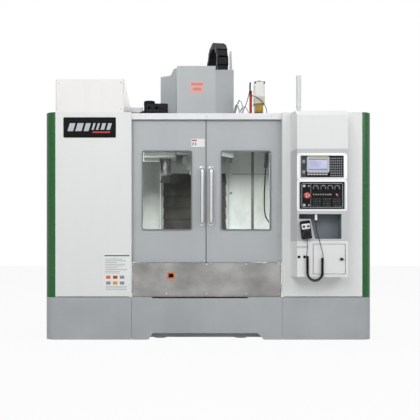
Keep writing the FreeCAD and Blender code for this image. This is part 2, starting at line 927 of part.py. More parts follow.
def emergency_stop():
    """Mushroom head on its stem."""
    x, z = stop_place
    collar_y = panel_floor - stop_travel_gap
    head_y = collar_y - stop_collar
    stem = stud(stop_stem_radius, stop_stem + stop_collar + stop_travel_gap, x, panel_floor + stop_stem, z)
    collar = stud(stop_radius * 0.7, stop_collar, x, collar_y, z)
    head = stud(stop_radius, stop_head, x, head_y, z)
    head = head.makeFillet(stop_round, [edge for edge in head.Edges
                                        if abs(edge.CenterOfMass.y - head_y + stop_head) < 0.5
                                        and not runs_along(edge, 1)])
    return join([stem, collar, head])


def storage_door():
    """Small door of the box under the console, with its knob."""
    gap = storage_gap
    leaf = block(storage_left + gap, storage_right - gap, console_face, console_face + sheet,
                 console_bottom + storage_inset + gap, bezel_bottom - storage_inset - gap)
    x = storage_right - storage_knob_side
    z = storage_knob_z
    length, thick, height = storage_wing
    front = console_face - storage_knob_reach
    boss = stud(storage_knob_radius, storage_knob_reach, x, console_face, z)
    wing = block(x - length / 2, x + length / 2, front - thick, front, z - height / 2, z + height / 2)
    barrel = rod(storage_barrel_radius, storage_barrel_length, storage_left + gap + storage_barrel_place,
                 console_face + gap, storage_barrel_z)
    return join([leaf, boss, wing, barrel])


def swept_tube(points, radius):
    """A round bar through straight runs joined by tangent arcs; returns it and the radii used."""
    corners = [Vector(*point) for point in points]
    edges = []
    radii = []
    start = corners[0]
    for before, here, after in zip(corners, corners[1:], corners[2:]):
        into = (here - before).normalize()
        out = (after - here).normalize()
        half_turn = into.getAngle(out) / 2
        setback = 0.45 * min((here - before).Length, (after - here).Length)
        radii.append(setback / math.tan(half_turn))
        first = here - into * setback
        last = here + out * setback
        middle_way = (out - into).normalize()
        rise = radii[-1] * (1 / math.cos(half_turn) - 1)
        edges.append(Part.LineSegment(start, first).toShape())
        edges.append(Part.Arc(first, here + middle_way * rise, last).toShape())
        start = last
    edges.append(Part.LineSegment(start, corners[-1]).toShape())
    direction = (corners[1] - corners[0]).normalize()
    ring = Part.Wire(Part.makeCircle(radius, corners[0], direction))
    return Part.Wire(edges).makePipeShell([ring], True, False), radii


def window_span(side):
    """The rim's outer limits in X on one door."""
    near = door_centre + side * (door_seam / 2 + window_inner_margin)
    return sorted((near, near + side * window_width))


def door(side):
    """Hollow sliding leaf with its window opening, raised rim and rollers."""
    inner = door_centre + side * door_seam / 2
    x0, x1 = sorted((inner, inner + side * (door_width + door_overlap)))
    back = door_face + door_thickness
    w0, w1 = window_span(side)
    window_top = window_bottom + window_height
    shell = block(x0, x1, door_face, back, door_bottom, door_top)
    hollow = block(x0 + door_skin, x1 - door_skin, door_face + door_skin, back - door_skin,
                   door_bottom + door_skin, door_top - door_skin)
    around = block(w0 - window_frame, w1 + window_frame, door_face, back,
                   window_bottom - window_frame, window_top + window_frame)
    rim = block(w0, w1, door_face - window_proud, back, window_bottom, window_top)
    opening = block(w0 + window_rim, w1 - window_rim, door_face - window_proud - past, back + past,
                    window_bottom + window_rim, window_top - window_rim)
    edge = window_rim - window_lap
    seat = block(w0 + edge, w1 - edge, door_face + window_inset,
                 door_face + window_inset + window_glass, window_bottom + edge, window_top - edge)
    pieces = [shell.cut(hollow.cut(around)), rim]
    y = door_face + roller_depth
    z = door_top + roller_rise
    for x in (x0 + roller_place, x1 - roller_place):
        pieces.append(around_x(x, roller_bracket / 2, y, y + bracket_sheet, door_top, z))
        pieces.append(rod(roller_radius, roller_width, x, y + bracket_sheet, z, Vector(0, 1, 0)))
    return join(pieces).cut([opening, seat])


def window(side):
    """Laminated pane let into the door's rim."""
    w0, w1 = window_span(side)
    edge = window_rim - window_lap
    y = door_face + window_inset
    return block(w0 + edge, w1 - edge, y, y + window_glass,
                 window_bottom + edge, window_bottom + window_height - edge)


def handle(side):
    """Bowed round bar standing off the door on two feet."""
    x = door_centre + side * handle_offset
    low = handle_bottom + handle_radius
    high = handle_bottom + handle_length - handle_radius
    root = door_face - handle_root
    reach = door_face - handle_stand
    points = [(x, root, low), (x, reach, low + handle_foot), (x, reach - handle_bow, (low + high) / 2),
              (x, reach, high - handle_foot), (x, root, high)]
    bar = swept_tube(points, handle_radius)[0]
    feet = [stud(handle_radius + handle_washer, washer_height, x, door_face, z) for z in (low, high)]
    return join([bar] + feet)


def top_rail():
    """Inverted channel over the doors, carrying their rollers."""
    x0 = flat_left + rail_end_gap
    x1 = flat_right - rail_end_gap
    y0 = front_y + panel_depth
    low = enclosure_top - rail_height
    return join([block(x0, x1, y0, y0 + sheet, low, enclosure_top),
                 block(x0, x1, y0, roof_front, enclosure_top - sheet, enclosure_top),
                 block(x0, x1, roof_front - sheet, roof_front, low, enclosure_top)])


def steel_apron():
    """Polished sheet under the doors, folded back into the door sill."""
    x0 = opening_left + panel_gap
    x1 = opening_right - panel_gap
    y0 = front_y + apron_recess
    y1 = y0 + sill_depth
    foot = y0 + apron_foot
    sill = door_bottom - apron_gap
    low = plinth_top + reveal
    return join([block(x0, x1, y0, y0 + apron_sheet, low, sill),
                 block(x0, x1, y0, y1, sill - apron_sheet, sill),
                 block(x0, x1, y1 - apron_sheet, y1, sill - apron_lip, sill),
                 block(x0, x1, y0, foot, low, low + apron_sheet),
                 block(x0, x1, foot - apron_sheet, foot, plinth_top, low + apron_sheet)])


def side_panel(side):
    """Flat side of the enclosure with folded top and rear; the right one has a roof plate."""
    outer = side * half_width
    fold = outer - side * panel_depth
    y0 = front_y + corner_radius
    start = y0 + inner_edge_gap
    low = plinth_top + reveal
    foot = outer - side * side_foot
    pieces = [between(outer, outer - side * sheet, y0, side_rear, low, enclosure_top),
              between(outer, fold, start, side_rear, enclosure_top - sheet, enclosure_top),
              between(outer, fold, side_rear - sheet, side_rear, low, enclosure_top),
              between(outer, fold, start, side_rear, low, low + sheet),
              between(foot, foot - side * sheet, start, side_rear - inner_edge_gap, plinth_top,
                      low + sheet)]
    if side > 0:
        pieces.append(block(roof_left, fold, roof_front, roof_rear, enclosure_top - sheet, enclosure_top))
    return join(pieces)


def splash_guard_left():
    """Inner sheets of the left side: wall, rear, floor, partition and magazine floor."""
    x0 = inner_left - sheet
    y1 = column_front - inner_rear_gap
    y2 = y1 + sheet
    low = plinth_top + inner_rise
    high = enclosure_top - sheet
    edge = column_left - inner_edge_gap
    bed_left = spindle_x - bed_arm_half - inner_floor_gap
    wall = block(x0, inner_left, inner_front, y2, low, high)
    back = block(x0, edge, y1, y2, low, inner_back_top)
    floor = block(x0, bed_left, bed_front, y2, low, low + sheet)
    ceiling = block(x0, partition_x, inner_front, y2, magazine_floor, magazine_floor + sheet)
    divider = block(partition_x - sheet, partition_x, partition_front, y2, magazine_floor, high)
    hole = rod(axle_radius + axle_end, 2 * inner_floor_gap, partition_x - inner_floor_gap, spindle_y,
               magazine_z, Vector(1, 0, 0))
    shutter = block(partition_x - inner_floor_gap, partition_x + inner_floor_gap,
                    spindle_y - shutter_half, spindle_y + shutter_half, shutter_low, shutter_top)
    notch = block(bed_left, edge + past, y1 - past, y2 + past, low - past, bed_top + inner_rise)
    return join([wall, back, floor, ceiling, divider]).cut([hole, shutter, notch])


def splash_guard_right():
    """Inner sheets of the right side: wall, rear and floor."""
    x1 = inner_right + sheet
    y1 = column_front - inner_rear_gap
    y2 = y1 + sheet
    low = plinth_top + inner_rise
    high = enclosure_top - sheet
    edge = column_right + inner_edge_gap
    bed_right = spindle_x + bed_arm_half + inner_floor_gap
    wall = block(inner_right, x1, inner_front, y2, low, high)
    back = block(edge, x1, y1, y2, low, high)
    floor = block(bed_right, x1, bed_front, y2, low, low + sheet)
    notch = block(edge - past, bed_right, y1 - past, y2 + past, low - past, bed_top + inner_rise)
    return join([wall, back, floor]).cut(notch)


def cabinet():
    """Electrical cabinet behind the column, with its mounting plate and rows of devices."""
    x0 = cabinet_left
    x1 = x0 + cabinet_width
    y0 = cabinet_front
    y1 = y0 + cabinet_depth
    wall = cabinet_sheet
    outer = block(x0, x1, y0, y1, cabinet_bottom, cabinet_top)
    inner = block(x0 + wall, x1 - wall, y0 + wall, y1 + past, cabinet_bottom + wall, cabinet_top - wall)
    plate = block(x0 + cabinet_plate_inset, x1 - cabinet_plate_inset, y0 + wall, y0 + cabinet_plate,
                  cabinet_bottom + cabinet_plate_inset, cabinet_top - cabinet_plate_inset)
    pieces = [outer.cut(inner), plate]
    width, depth, height = device_size
    for row in range(device_rows):
        z = cabinet_bottom + device_place[1] + row * device_pitch[1]
        for number in range(device_columns):
            x = x0 + device_place[0] + number * device_pitch[0]
            pieces.append(block(x, x + width, y0 + cabinet_plate, y0 + cabinet_plate + depth, z, z + height))
    for z in (cabinet_bottom + bracket_inset, cabinet_top - bracket_inset):
        for place in bracket_places:
            pieces.append(block(x0 + place, x0 + place + bracket_width, column_rear, y0, z,
                                z + bracket_height))
    return join(pieces)


def cabinet_door():
    """Rear door of the cabinet with its handle, louvres and hinge."""
    x0 = cabinet_left + rear_door_gap
    x1 = cabinet_left + cabinet_width - rear_door_gap
    y1 = cabinet_door_face
    inset = cabinet_sheet + past
    pieces = [block(x0, x1, y1 - cabinet_sheet + running_gap, y1, cabinet_bottom + inset,
                    cabinet_top - inset)]
    width, depth, height = louvre_size
    x = x0 + louvre_place[0]
    for number in range(louvre_count):
        z = cabinet_bottom + louvre_place[1] + number * louvre_pitch
        pieces.append(prism([(x, y1, z), (x, y1 + depth, z), (x, y1, z + height)], (width, 0, 0)))
    z = (cabinet_bottom + cabinet_top) / 2
    grip = x1 - rear_grip_side
    pieces.append(block(grip, grip + rear_grip_width, y1, y1 + cabinet_handle / 2,
                        z - rear_grip_half, z + rear_grip_half))
    pieces.append(block(grip + 2 * rear_door_gap, grip + rear_grip_width - 2 * rear_door_gap,
                        y1 + cabinet_handle / 2, y1 + cabinet_handle,
                        z - rear_grip_half + washer_height, z + rear_grip_half / 2))
    pieces.append(rod(rear_hinge_radius, cabinet_top - cabinet_bottom - 2 * rear_hinge_inset,
                      x0 + rear_hinge_place, y1 + rear_hinge_place, cabinet_bottom + rear_hinge_inset))
    return join(pieces)


def lubricator():
    """Oil tank over its pump on the right roof plate."""
    x, y = lubricator_place
    half = lubricator_width / 2
    low = enclosure_top + lubricator_base
    tank_low = low + lubricator_pump
    tank_top = tank_low + lubricator_tank
    base = block(x - half, x + half, y - lubricator_depth / 2 + lubricator_step,
                 y + lubricator_depth / 2 - lubricator_step, enclosure_top, low)
    pump = block(x - half + pump_left, x + half - pump_right, y - pump_half, y + pump_half, low, tank_low)
    tank = block(x - half + tank_left, x + half - tank_right, y - lubricator_depth / 2,
                 y + lubricator_depth / 2, tank_low, tank_top)
    tank = rounded(tank, lubricator_round, lambda edge: runs_along(edge, 2))
    cap = rod(filler_radius, filler_height, x + filler_side, y, tank_top)
    gauge = rod(gauge_radius, gauge_height, x + gauge_side, y, low)
    return join([base, pump, tank, cap, gauge])


def servo_motor(x, y, z, direction):
    """Square motor with a stepped rear housing and a connector box, along a direction."""
    half = motor_size / 2
    cap = motor_length - motor_cap
    body = half - motor_step
    rear = half - 2 * motor_step
    motor = join([block(-half, half, -half, half, 0, motor_flange),
                  block(-body, body, -body, body, motor_flange, cap),
                  block(-rear, rear, -rear, rear, cap, motor_length),
                  block(-plug_half, plug_half, rear, half, cap + motor_step, motor_length - motor_step)])
    turn = FreeCAD.Rotation(Vector(0, 0, 1), Vector(*direction))
    motor.Placement = FreeCAD.Placement(Vector(x, y, z), turn)
    return motor


def screw_bore(length, x, y, z, direction):
    """The hole that a ball screw runs in."""
    return rod(screw_radius + bearing_gap, length, x, y, z, Vector(*direction))


def saddle():
    """Cross slide: ways for the table on top, guides for the bed below, seats for two screws."""
    x0 = spindle_x - saddle_length / 2
    x1 = spindle_x + saddle_length / 2
    y0 = spindle_y - saddle_half
    y1 = spindle_y + saddle_half
    body = block(x0, x1, y0, y1, saddle_bottom, saddle_top)
    channel = block(x0 + saddle_channel_inset, x1 - saddle_channel_inset,
                    spindle_y - saddle_channel_half, spindle_y + saddle_channel_half,
                    x_screw_z - nut_seat_half, saddle_top)
    pieces = [body.cut(channel)]
    for side in (-1, 1):
        y = spindle_y + side * x_way_spread
        pieces.append(block(x0, x1, y - way_width / 2, y + way_width / 2, saddle_top,
                            saddle_top + x_way_height))
        x = spindle_x + side * (y_way_spread + way_width / 2 + running_gap + keep_width / 2)
        pieces.append(around_x(x, keep_width / 2, y0, y1, saddle_bottom - keep_depth, saddle_bottom))
    pieces.append(around_x(spindle_x, nut_half, spindle_y - nut_seat_half, spindle_y + nut_seat_half,
                           y_screw_z - nut_drop, saddle_bottom))
    cuts = [screw_bore(2 * nut_half, spindle_x, spindle_y - nut_half, y_screw_z, (0, 1, 0)),
            screw_bore(nut_half + screw_radius, x1 - nut_half, spindle_y, x_screw_z, (1, 0, 0)),
            screw_bore(nut_drop, x0 + screw_radius, spindle_y, x_screw_z, (1, 0, 0))]
    return join(pieces).cut(cuts)


def table():
    """Slotted table with its nut and keep strips below."""
    x0 = spindle_x - table_length / 2
    x1 = spindle_x + table_length / 2
    half = table_width / 2
    low = table_top - table_thickness + running_gap
    pieces = [block(x0, x1, spindle_y - half, spindle_y + half, low, table_top)]
    pieces.append(around_x(spindle_x, table_nut_half, spindle_y - nut_seat_half,
                           spindle_y + nut_seat_half, x_screw_z - nut_drop, low))
    for side in (-1, 1):
        y = spindle_y + side * (x_way_spread + way_width / 2 + running_gap + keep_width / 2)
        pieces.append(block(x0 + table_keep_inset, x1 - table_keep_inset, y - keep_width / 2,
                            y + keep_width / 2, low - keep_depth, low))
    cuts = [screw_bore(2 * nut_half, spindle_x - nut_half, spindle_y, x_screw_z, (1, 0, 0))]
    neck = table_top - slot_neck
    for number in range(slot_count):
        y = spindle_y + (number - (slot_count - 1) / 2) * slot_pitch
        cuts.append(block(x0, x1, y - slot_width / 2, y + slot_width / 2, neck, table_top))
        cuts.append(block(x0, x1, y - slot_foot_width / 2, y + slot_foot_width / 2, neck - slot_foot, neck))
    return join(pieces).cut(cuts)


def screw(x, y, z, length, direction):
    """Ball screw shaft."""
    return rod(screw_radius, length, x, y, z, Vector(*direction))


def head_casting():
    """Spindle head: slide plate, arm, round barrel, nut and the chain's shelf."""
    arm_half = head_arm_width / 2
    nut_low = head_plate_bottom + z_nut_rise
    barrel_low = nose_z + head_barrel_rise
    pieces = [around_x(spindle_x, head_plate_width / 2, tab_rear, plate_rear, head_plate_bottom,
                       head_plate_top),
              around_x(spindle_x, arm_half, spindle_y, tab_rear, head_arm_bottom, head_arm_top),
              rod(arm_half, head_arm_top - head_arm_bottom, spindle_x, spindle_y, head_arm_bottom),
              rod(head_barrel_radius, head_arm_top - barrel_low, spindle_x, spindle_y, barrel_low),
              rod(head_nose_radius, head_barrel_rise - head_nose_rise + past, spindle_x, spindle_y,
                  nose_z + head_nose_rise),
              around_x(spindle_x, nut_half, plate_rear, column_front - inner_rear_gap, nut_low,
                       nut_low + z_nut_height),
              block(spindle_x + arm_half, chain_front[0] + table_nut_half,
                    chain_front[1] - chain_room + washer_height, chain_front[1] + chain_room - washer_height,
                    chain_foot - chain_shelf, chain_foot)]
    bore = rod(spindle_radius + bearing_gap, spindle_top - nose_z + running_gap, spindle_x, spindle_y,
               nose_z)
    screw_hole = screw_bore(z_nut_height + 2 * screw_bearing, spindle_x, z_screw_y,
                            nut_low - screw_bearing, (0, 0, 1))
    return join(pieces).cut([bore, screw_hole])


def shoulder(start, end):
    """S-shaped edge between two heights."""
    middle_x = (start.x + end.x) / 2
    curve = Part.BezierCurve()
    curve.setPoles([start, Vector(middle_x + shoulder_rise, start.y, start.z),
                    Vector(middle_x - shoulder_rise, start.y, end.z), end])
    return curve.toShape()


def cover_solid(t):
    """The cover's filled shape, drawn in by t but running out at the bottom and the back."""
    over = past if t else 0.0
    low = cover_bottom - over
    rear_top = cover_top + cover_slope - t
    left = cover_left + t
    front = cover_front + t
    back = cover_back + over
    main = prism([(left, front, low), (left, front, cover_top - t), (left, cover_wing_front, rear_top),
                  (left, back, rear_top), (left, back, low)], (cover_right - cover_left - 2 * t, 0, 0))
    cheek_rear = cover_cheek_rear + over
    root = cover_right - cover_lap
    side = cover_cheek_right - t
    cheek_front = cover_front + cover_cheek_slant
    cheek_low = cover_top - cover_step - t
    cheek_high = cheek_low + cover_cheek_rise
    cheek = plan([(root, front), (cover_right - t / 2, front), (side, cheek_front + t / 2),
                  (side, cheek_rear), (root, cheek_rear)], low, cheek_high)
    x = root - past
    above = prism([(x, front, cheek_low), (x, cheek_front, cheek_high), (x, cheek_front, cheek_high + past),
                   (x, front - past, cheek_high + past), (x, front - past, cheek_low)],
                  (side - root + 2 * past, 0, 0))
    y = cover_wing_front + t
    wing_top = cover_top - cover_wing_step - t
    wing_low = cover_wing_bottom - over
    inside = cover_left + cover_lap
    outside = cover_wing_left + t
    step = Vector(cover_left - shoulder_run, y, wing_top + shoulder_rise)
    corners = [Vector(inside, y, rear_top), Vector(inside, y, wing_low), Vector(outside, y, wing_low),
               Vector(outside, y, wing_top), step]
    edges = [Part.LineSegment(p, q).toShape() for p, q in zip(corners, corners[1:])]
    edges.append(shoulder(step, Vector(left, y, rear_top)))
    edges.append(Part.LineSegment(Vector(left, y, rear_top), corners[0]).toShape())
    wing = Part.Face(Part.Wire(edges)).extrude(Vector(0, cheek_rear - y, 0))
    return join([main, cheek.cut(above), wing])


def head_cover():
    """Sheet cover over the head: sloping roof, slanted right cheek, left wing, chain bracket."""
    cheek_top = cover_top - cover_step + cover_cheek_rise
    base = cheek_top - 2 * past
    shell = cover_solid(0).cut(cover_solid(sheet))
    x = chain_front[0] + bracket_offset
    y = chain_front[1] - chain_room
    hole = block(chain_front[0] - bracket_offset - bracket_sheet_upright, x - past, y,
                 chain_front[1] + chain_room, cheek_top - way_top_gap, cheek_top + way_top_gap)
    fin = prism([(x, y, base), (cover_cheek_right, y, base), (x + bracket_tip, y, bracket_top),
                 (x, y, bracket_top)], (0, bracket_sheet_upright, 0))
    web = block(x, x + bracket_sheet_upright, y, y + bracket_depth, base, bracket_top)
    tabs = [block(cover_left, cover_left + sheet, cover_back - inner_edge_gap, tab_rear, tab_bottom,
                  tab_top),
            block(tab_right, tab_right + sheet, cover_cheek_rear - inner_edge_gap, tab_rear, tab_bottom,
                  tab_top),
            block(tab_right, cover_cheek_right, cover_cheek_rear - sheet, cover_cheek_rear, tab_bottom,
                  tab_top)]
    return join([shell.cut(hole), fin, web] + tabs)


def spindle():
    """Rotating spindle with its nose face and 7/24 taper."""
    small = taper_mouth_radius - taper_depth * 7 / 48
    quill_low = nose_z + spindle_nose
    quill = rod(spindle_radius, spindle_top - quill_low, spindle_x, spindle_y, quill_low)
    nose = rod(spindle_radius - spindle_step, spindle_nose, spindle_x, spindle_y, nose_z)
    taper = Part.makeCone(taper_mouth_radius, small, taper_depth, Vector(spindle_x, spindle_y, nose_z))
    drawbar = rod(small, drawbar_length, spindle_x, spindle_y, nose_z + taper_depth)
    return join([quill, nose]).cut([taper, drawbar])


def spindle_motor():
    """Motor over the spindle, with its fan and connection box."""
    half = spindle_motor_size / 2
    fan_low = spindle_motor_top - motor_fan
    body = around_x(spindle_x, half, spindle_y - half, spindle_y + half, head_arm_top, fan_low)
    body = rounded(body, motor_round, lambda edge: runs_along(edge, 2))
    fan = rod(half - motor_step, motor_fan, spindle_x, spindle_y, fan_low)
    box = block(spindle_x + half - motor_fan, spindle_x + half + motor_box_out,
                spindle_y - motor_box_half, spindle_y + motor_box_half,
                fan_low - motor_box_height - motor_flange, fan_low - motor_flange)
    return join([body, fan, box])


def energy_chain():
    """Hollow cable carrier of boxed links, standing in an arch from the head to the column."""
    dx = chain_rear[0] - chain_front[0]
    dy = chain_rear[1] - chain_front[1]
    bend = math.hypot(dx, dy) / 2
    half = chain_width / 2
    thick = chain_thickness / 2

    def section(grow):
        """The closed shape of the carrier: two legs and half a ring."""
        w = half + grow
        t = thick + grow
        legs = [block(-w, w, -bend - t, -bend + t, chain_foot, chain_rise),
                block(-w, w, bend - t, bend + t, column_top, chain_rise)]
        start = Vector(-w, 0, chain_rise)
        ring = Part.makeCylinder(bend + t, 2 * w, start, Vector(1, 0, 0))
        core = Part.makeCylinder(bend - t, 2 * w, start, Vector(1, 0, 0))
        upper = block(-w - past, w + past, -bend - t - past, bend + t + past, chain_rise,
                      chain_rise + bend + t + past)
        return join(legs + [ring.cut(core).common(upper)])

    spine = section(-chain_neck).cut(section(-chain_wall))
    leg = chain_rise - chain_foot
    arch = math.pi * bend
    length = leg + arch + (chain_rise - column_top)
    count = int(length / chain_pitch)
    spare = (length - count * chain_pitch) / 2
    link_half = (chain_pitch - chain_gap) / 2
    links = []
    for number in range(count):
        along = spare + (number + 0.5) * chain_pitch
        link = block(-half, half, -thick, thick, -link_half, link_half)
        link = link.cut(block(-half + chain_wall, half - chain_wall, -thick + chain_wall,
                              thick - chain_wall, -chain_pitch, chain_pitch))
        if along < leg:
            link.translate(Vector(0, -bend, chain_foot + along))
        elif along > leg + arch:
            link.translate(Vector(0, bend, chain_rise - (along - leg - arch)))
        else:
            link.translate(Vector(0, -bend, chain_rise))
            link.rotate(Vector(0, 0, chain_rise), Vector(1, 0, 0), -math.degrees((along - leg) / bend))
        links.append(link)
    carrier = join([spine] + links)
    carrier.rotate(Vector(0, 0, 0), Vector(0, 0, 1), math.degrees(math.atan2(-dx, dy)))
    carrier.translate(Vector((chain_front[0] + chain_rear[0]) / 2, (chain_front[1] + chain_rear[1]) / 2, 0))
    print("energy_chain bend", round(bend, 1), "links", count, "length", round(length, 1))
    return carrier


def pleats(half, y0, y1, z0, z1, upright, count):
    """Overlapping cover plates stepped along the ways, as one closed solid."""
    plates = []
    low, high = (z0, z1) if upright else (y0, y1)
    step = (high - low) / count
    for number in range(count):
        a = low + number * step
        rise = pleat_step if number % 2 else 0.0
        if upright:
            plates.append(around_x(spindle_x, half - rise, y0 + rise, y1, a, a + step))
        else:
            plates.append(around_x(spindle_x, half - rise, a, a + step, z0, z1 - rise))
    return join(plates)


def way_cover_front():
    """Pleated cover of the bed's ways in front of the saddle."""
    low = bed_top + y_way_height + cover_gap
    return pleats(y_way_spread + y_cover_out, bed_front + y_cover_inset,
                  spindle_y - saddle_half - cover_gap, low, low + y_cover_height, False, y_pleats)


def way_cover_upright():
    """Pleated cover of the column's ways under the head."""
    return pleats(head_plate_width / 2, plate_rear - z_cover_thickness, plate_rear, z_cover_foot,
                  head_plate_bottom - cover_gap, True, z_pleats)


def table_end_covers():
    """Steel roofs over the ways, screwed to the table's ends."""
    covers = []
    y0 = spindle_y - end_cover_half
    y1 = spindle_y + end_cover_half
    low = end_cover_top - end_cover_sheet
    for side in (-1, 1):
        near = spindle_x + side * table_length / 2
        top = between(near, near + side * end_cover_length, y0, y1, low, end_cover_top)
        end = between(near, near + side * end_cover_sheet, y0, y1, end_cover_top - end_cover_skirt,
                      end_cover_top)
        covers.append(join([top, end]))
    return covers


def cam_box():
    """Gear box of the tool changer with its bracket, the magazine's axle and the hub's seat."""
    left = arm_x - cam_box_left
    rear = spindle_y + cam_box_half
    plate = column_left - beam_foot_sheet
    axle_start = disc_x - axle_end
    pieces = [block(left, arm_x + cam_box_right, spindle_y - cam_box_half, rear, cam_box_bottom,
                    cam_box_top),
              block(left, plate, rear, beam_rear, beam_bottom, cam_box_top),
              block(plate, column_left, beam_foot_front, beam_rear, beam_foot_bottom,
                    cam_box_top + disc_margin),
              rod(axle_radius, left - axle_start, axle_start, spindle_y, magazine_z, Vector(1, 0, 0))]
    seat = rod(hub_radius + bearing_gap, hub_depth + hub_play, arm_x, spindle_y, cam_box_bottom)
    return join(pieces).cut(seat)


def changer_motor():
    """Upright motor on the gear box with its junction box."""
    x = changer_motor_x
    front = spindle_y - changer_box_front
    body = rod(changer_motor_radius, changer_motor_top - cam_box_top, x, spindle_y, cam_box_top)
    box = block(x + changer_box_left, x + changer_box_left + changer_box_width, front,
                spindle_y + changer_box_rear, changer_box_bottom, changer_box_top)
    box = rounded(box, gland_height, lambda edge: runs_along(edge, 1))
    middle = (changer_box_bottom + changer_box_top) / 2
    glands = [stud(gland_radius, gland_height, x + place, front, middle + rise)
              for place, rise in gland_places]
    return join([body, box] + glands)


def changer_hub():
    """Turning hub under the gear box, bored for the arm's shaft."""
    low = cam_box_bottom - hub_length
    flange = rod(hub_flange_radius, hub_flange, arm_x, spindle_y,
                 cam_box_bottom - hub_flange - hub_flange_gap)
    body = rod(hub_radius, hub_depth + hub_length, arm_x, spindle_y, low)
    bore = rod(arm_shaft_radius + bearing_gap, hub_depth + hub_length - hub_end, arm_x, spindle_y, low)
    return join([flange, body]).cut(bore)


def changer_arm():
    """Double-ended gripper arm on its sliding shaft."""
    top = nose_z - arm_clearance
    low = top - arm_thickness
    half = arm_bar_width / 2
    pieces = [around_x(arm_x, half, spindle_y - arm_reach, spindle_y + arm_reach, low, top)]
    cuts = []
    for side in (-1, 1):
        y = spindle_y + side * arm_reach
        pieces.append(rod(jaw_outer, arm_thickness, arm_x, y, low))
        cuts.append(rod(jaw_inner, arm_thickness + 2 * past, arm_x, y, low - past))
        cuts.append(between(arm_x, arm_x + side * jaw_depth, y - jaw_mouth / 2, y + jaw_mouth / 2,
                            low - past, top + past))
    boss = rod(arm_boss_radius, arm_boss, arm_x, spindle_y, top)
    shaft = rod(arm_shaft_radius, cam_box_bottom + hub_depth - arm_shaft_play - top, arm_x, spindle_y, top)
    return join([join(pieces).cut(cuts), boss, shaft])


def magazine():
    """Disc magazine: plate, hub and a ring of pots with their tool holders."""
    along = Vector(1, 0, 0)
    pieces = [rod(pot_circle + disc_margin, disc_thickness, disc_x, spindle_y, magazine_z, along),
              rod(axle_radius + disc_hub, disc_hub_length, disc_x - disc_thickness, spindle_y, magazine_z,
                  along)]
    steps = ((pot_radius, pot_length), (pot_radius - pot_wall, holder_flange),
             (holder_tip_radius + holder_shoulder, holder_body),
             (holder_tip_radius / 2, holder_length - holder_flange - holder_body))
    for number in range(pot_count):
        angle = 2 * math.pi * number / pot_count
        y = spindle_y + pot_circle * math.sin(angle)
        z = magazine_z - pot_circle * math.cos(angle)
        start = disc_x + disc_thickness
        for radius, length in steps:
            pieces.append(rod(radius, length, start, y, z, along))
            start += length
    bore = rod(axle_radius + bearing_gap, disc_hub_length + 2 * past, disc_x - disc_thickness - past,
               spindle_y, magazine_z, along)
    return join(pieces).cut(bore)


def stack_light():
    """Signal column on a forked stand."""
    x, y = stack_place
    base = enclosure_top + stack_foot / 2
    fork_top = enclosure_top + stack_fork
    low = enclosure_top + stack_neck
    pieces = [around_x(x, stack_foot_half, y - stack_radius, y + stack_radius, enclosure_top,
                       enclosure_top + stack_foot)]
    for side in (-1, 1):
        foot = x + side * stack_fork_out
        head = x + side * stack_fork_in
        bar = -side * stack_fork_bar
        pieces.append(prism([(foot, y - stack_foot, base), (foot + bar, y - stack_foot, base),
                             (head + bar, y - stack_foot, fork_top), (head, y - stack_foot, fork_top)],
                            (0, 2 * stack_foot, 0)))
    pieces.append(rod(stack_neck_radius, stack_neck - stack_neck_start, x, y,
                      enclosure_top + stack_neck_start))
    tower = rod(stack_radius, stack_top - low, x, y, low)
    for number in range(1, lamp_count):
        z = low + number * lamp_pitch
        tower = tower.cut(rod(stack_radius + past, lamp_groove, x, y, z).cut(
            rod(stack_radius - lamp_sink, lamp_groove, x, y, z)))
    return join(pieces + [tower])


def pendant_turn(shape):
    """Lean a pendant piece with the holder."""
    shape.rotate(Vector(pendant_x, 0, pendant_z), Vector(0, 1, 0), pendant_tilt)
    return shape


def pendant_case():
    """Hand pendant with two selector knobs, a side grip and the wheel's bore."""
    y1 = console_face
    y0 = y1 - pendant_thickness
    half = pendant_length / 2
    left = pendant_x - pendant_width / 2
    case = around_x(pendant_x, pendant_width / 2, y0, y1, pendant_z - half, pendant_z + half)
    case = rounded(case, pendant_round, lambda edge: runs_along(edge, 1))
    waist = rod(waist_radius, waist_low + waist_top, left - waist_out, (y0 + y1) / 2,
                pendant_z - waist_low)
    knobs = [stud(selector_radius, selector_height, pendant_x + side * selector_side, y0,
                  pendant_z + selector_rise) for side in (-1, 1)]
    bore = rod(wheel_shaft_radius + bearing_gap, wheel_seat, pendant_x, y0 - past,
               pendant_z - wheel_drop, Vector(0, 1, 0))
    return pendant_turn(join([case] + knobs).cut([bore, waist]))


def pendant_wheel():
    """Pulse wheel with its crank peg."""
    y0 = console_face - pendant_thickness
    z = pendant_z - wheel_drop
    front = y0 - wheel_gap - wheel_height
    shaft = stud(wheel_shaft_radius, wheel_shaft + wheel_gap, pendant_x, y0 + wheel_shaft, z)
    disc = stud(wheel_radius, wheel_height, pendant_x, y0 - wheel_gap, z)
    disc = disc.makeFillet(wheel_round, [edge for edge in disc.Edges if not runs_along(edge, 1)])
    peg_y = front + wheel_gap
    peg = stud(peg_radius, peg_y - front_limit, pendant_x + peg_place[0], peg_y, z + peg_place[1])
    return pendant_turn(join([shaft, disc, peg]))


def cord_socket():
    """Socket in the roof of the console's pocket, with the cord's relief."""
    x, y, z = socket_place
    body_z = z + relief_length
    return join([rod(socket_radius, pocket_top - body_z, x, y, body_z),
                 rod(relief_radius, relief_length, x, y, z)])


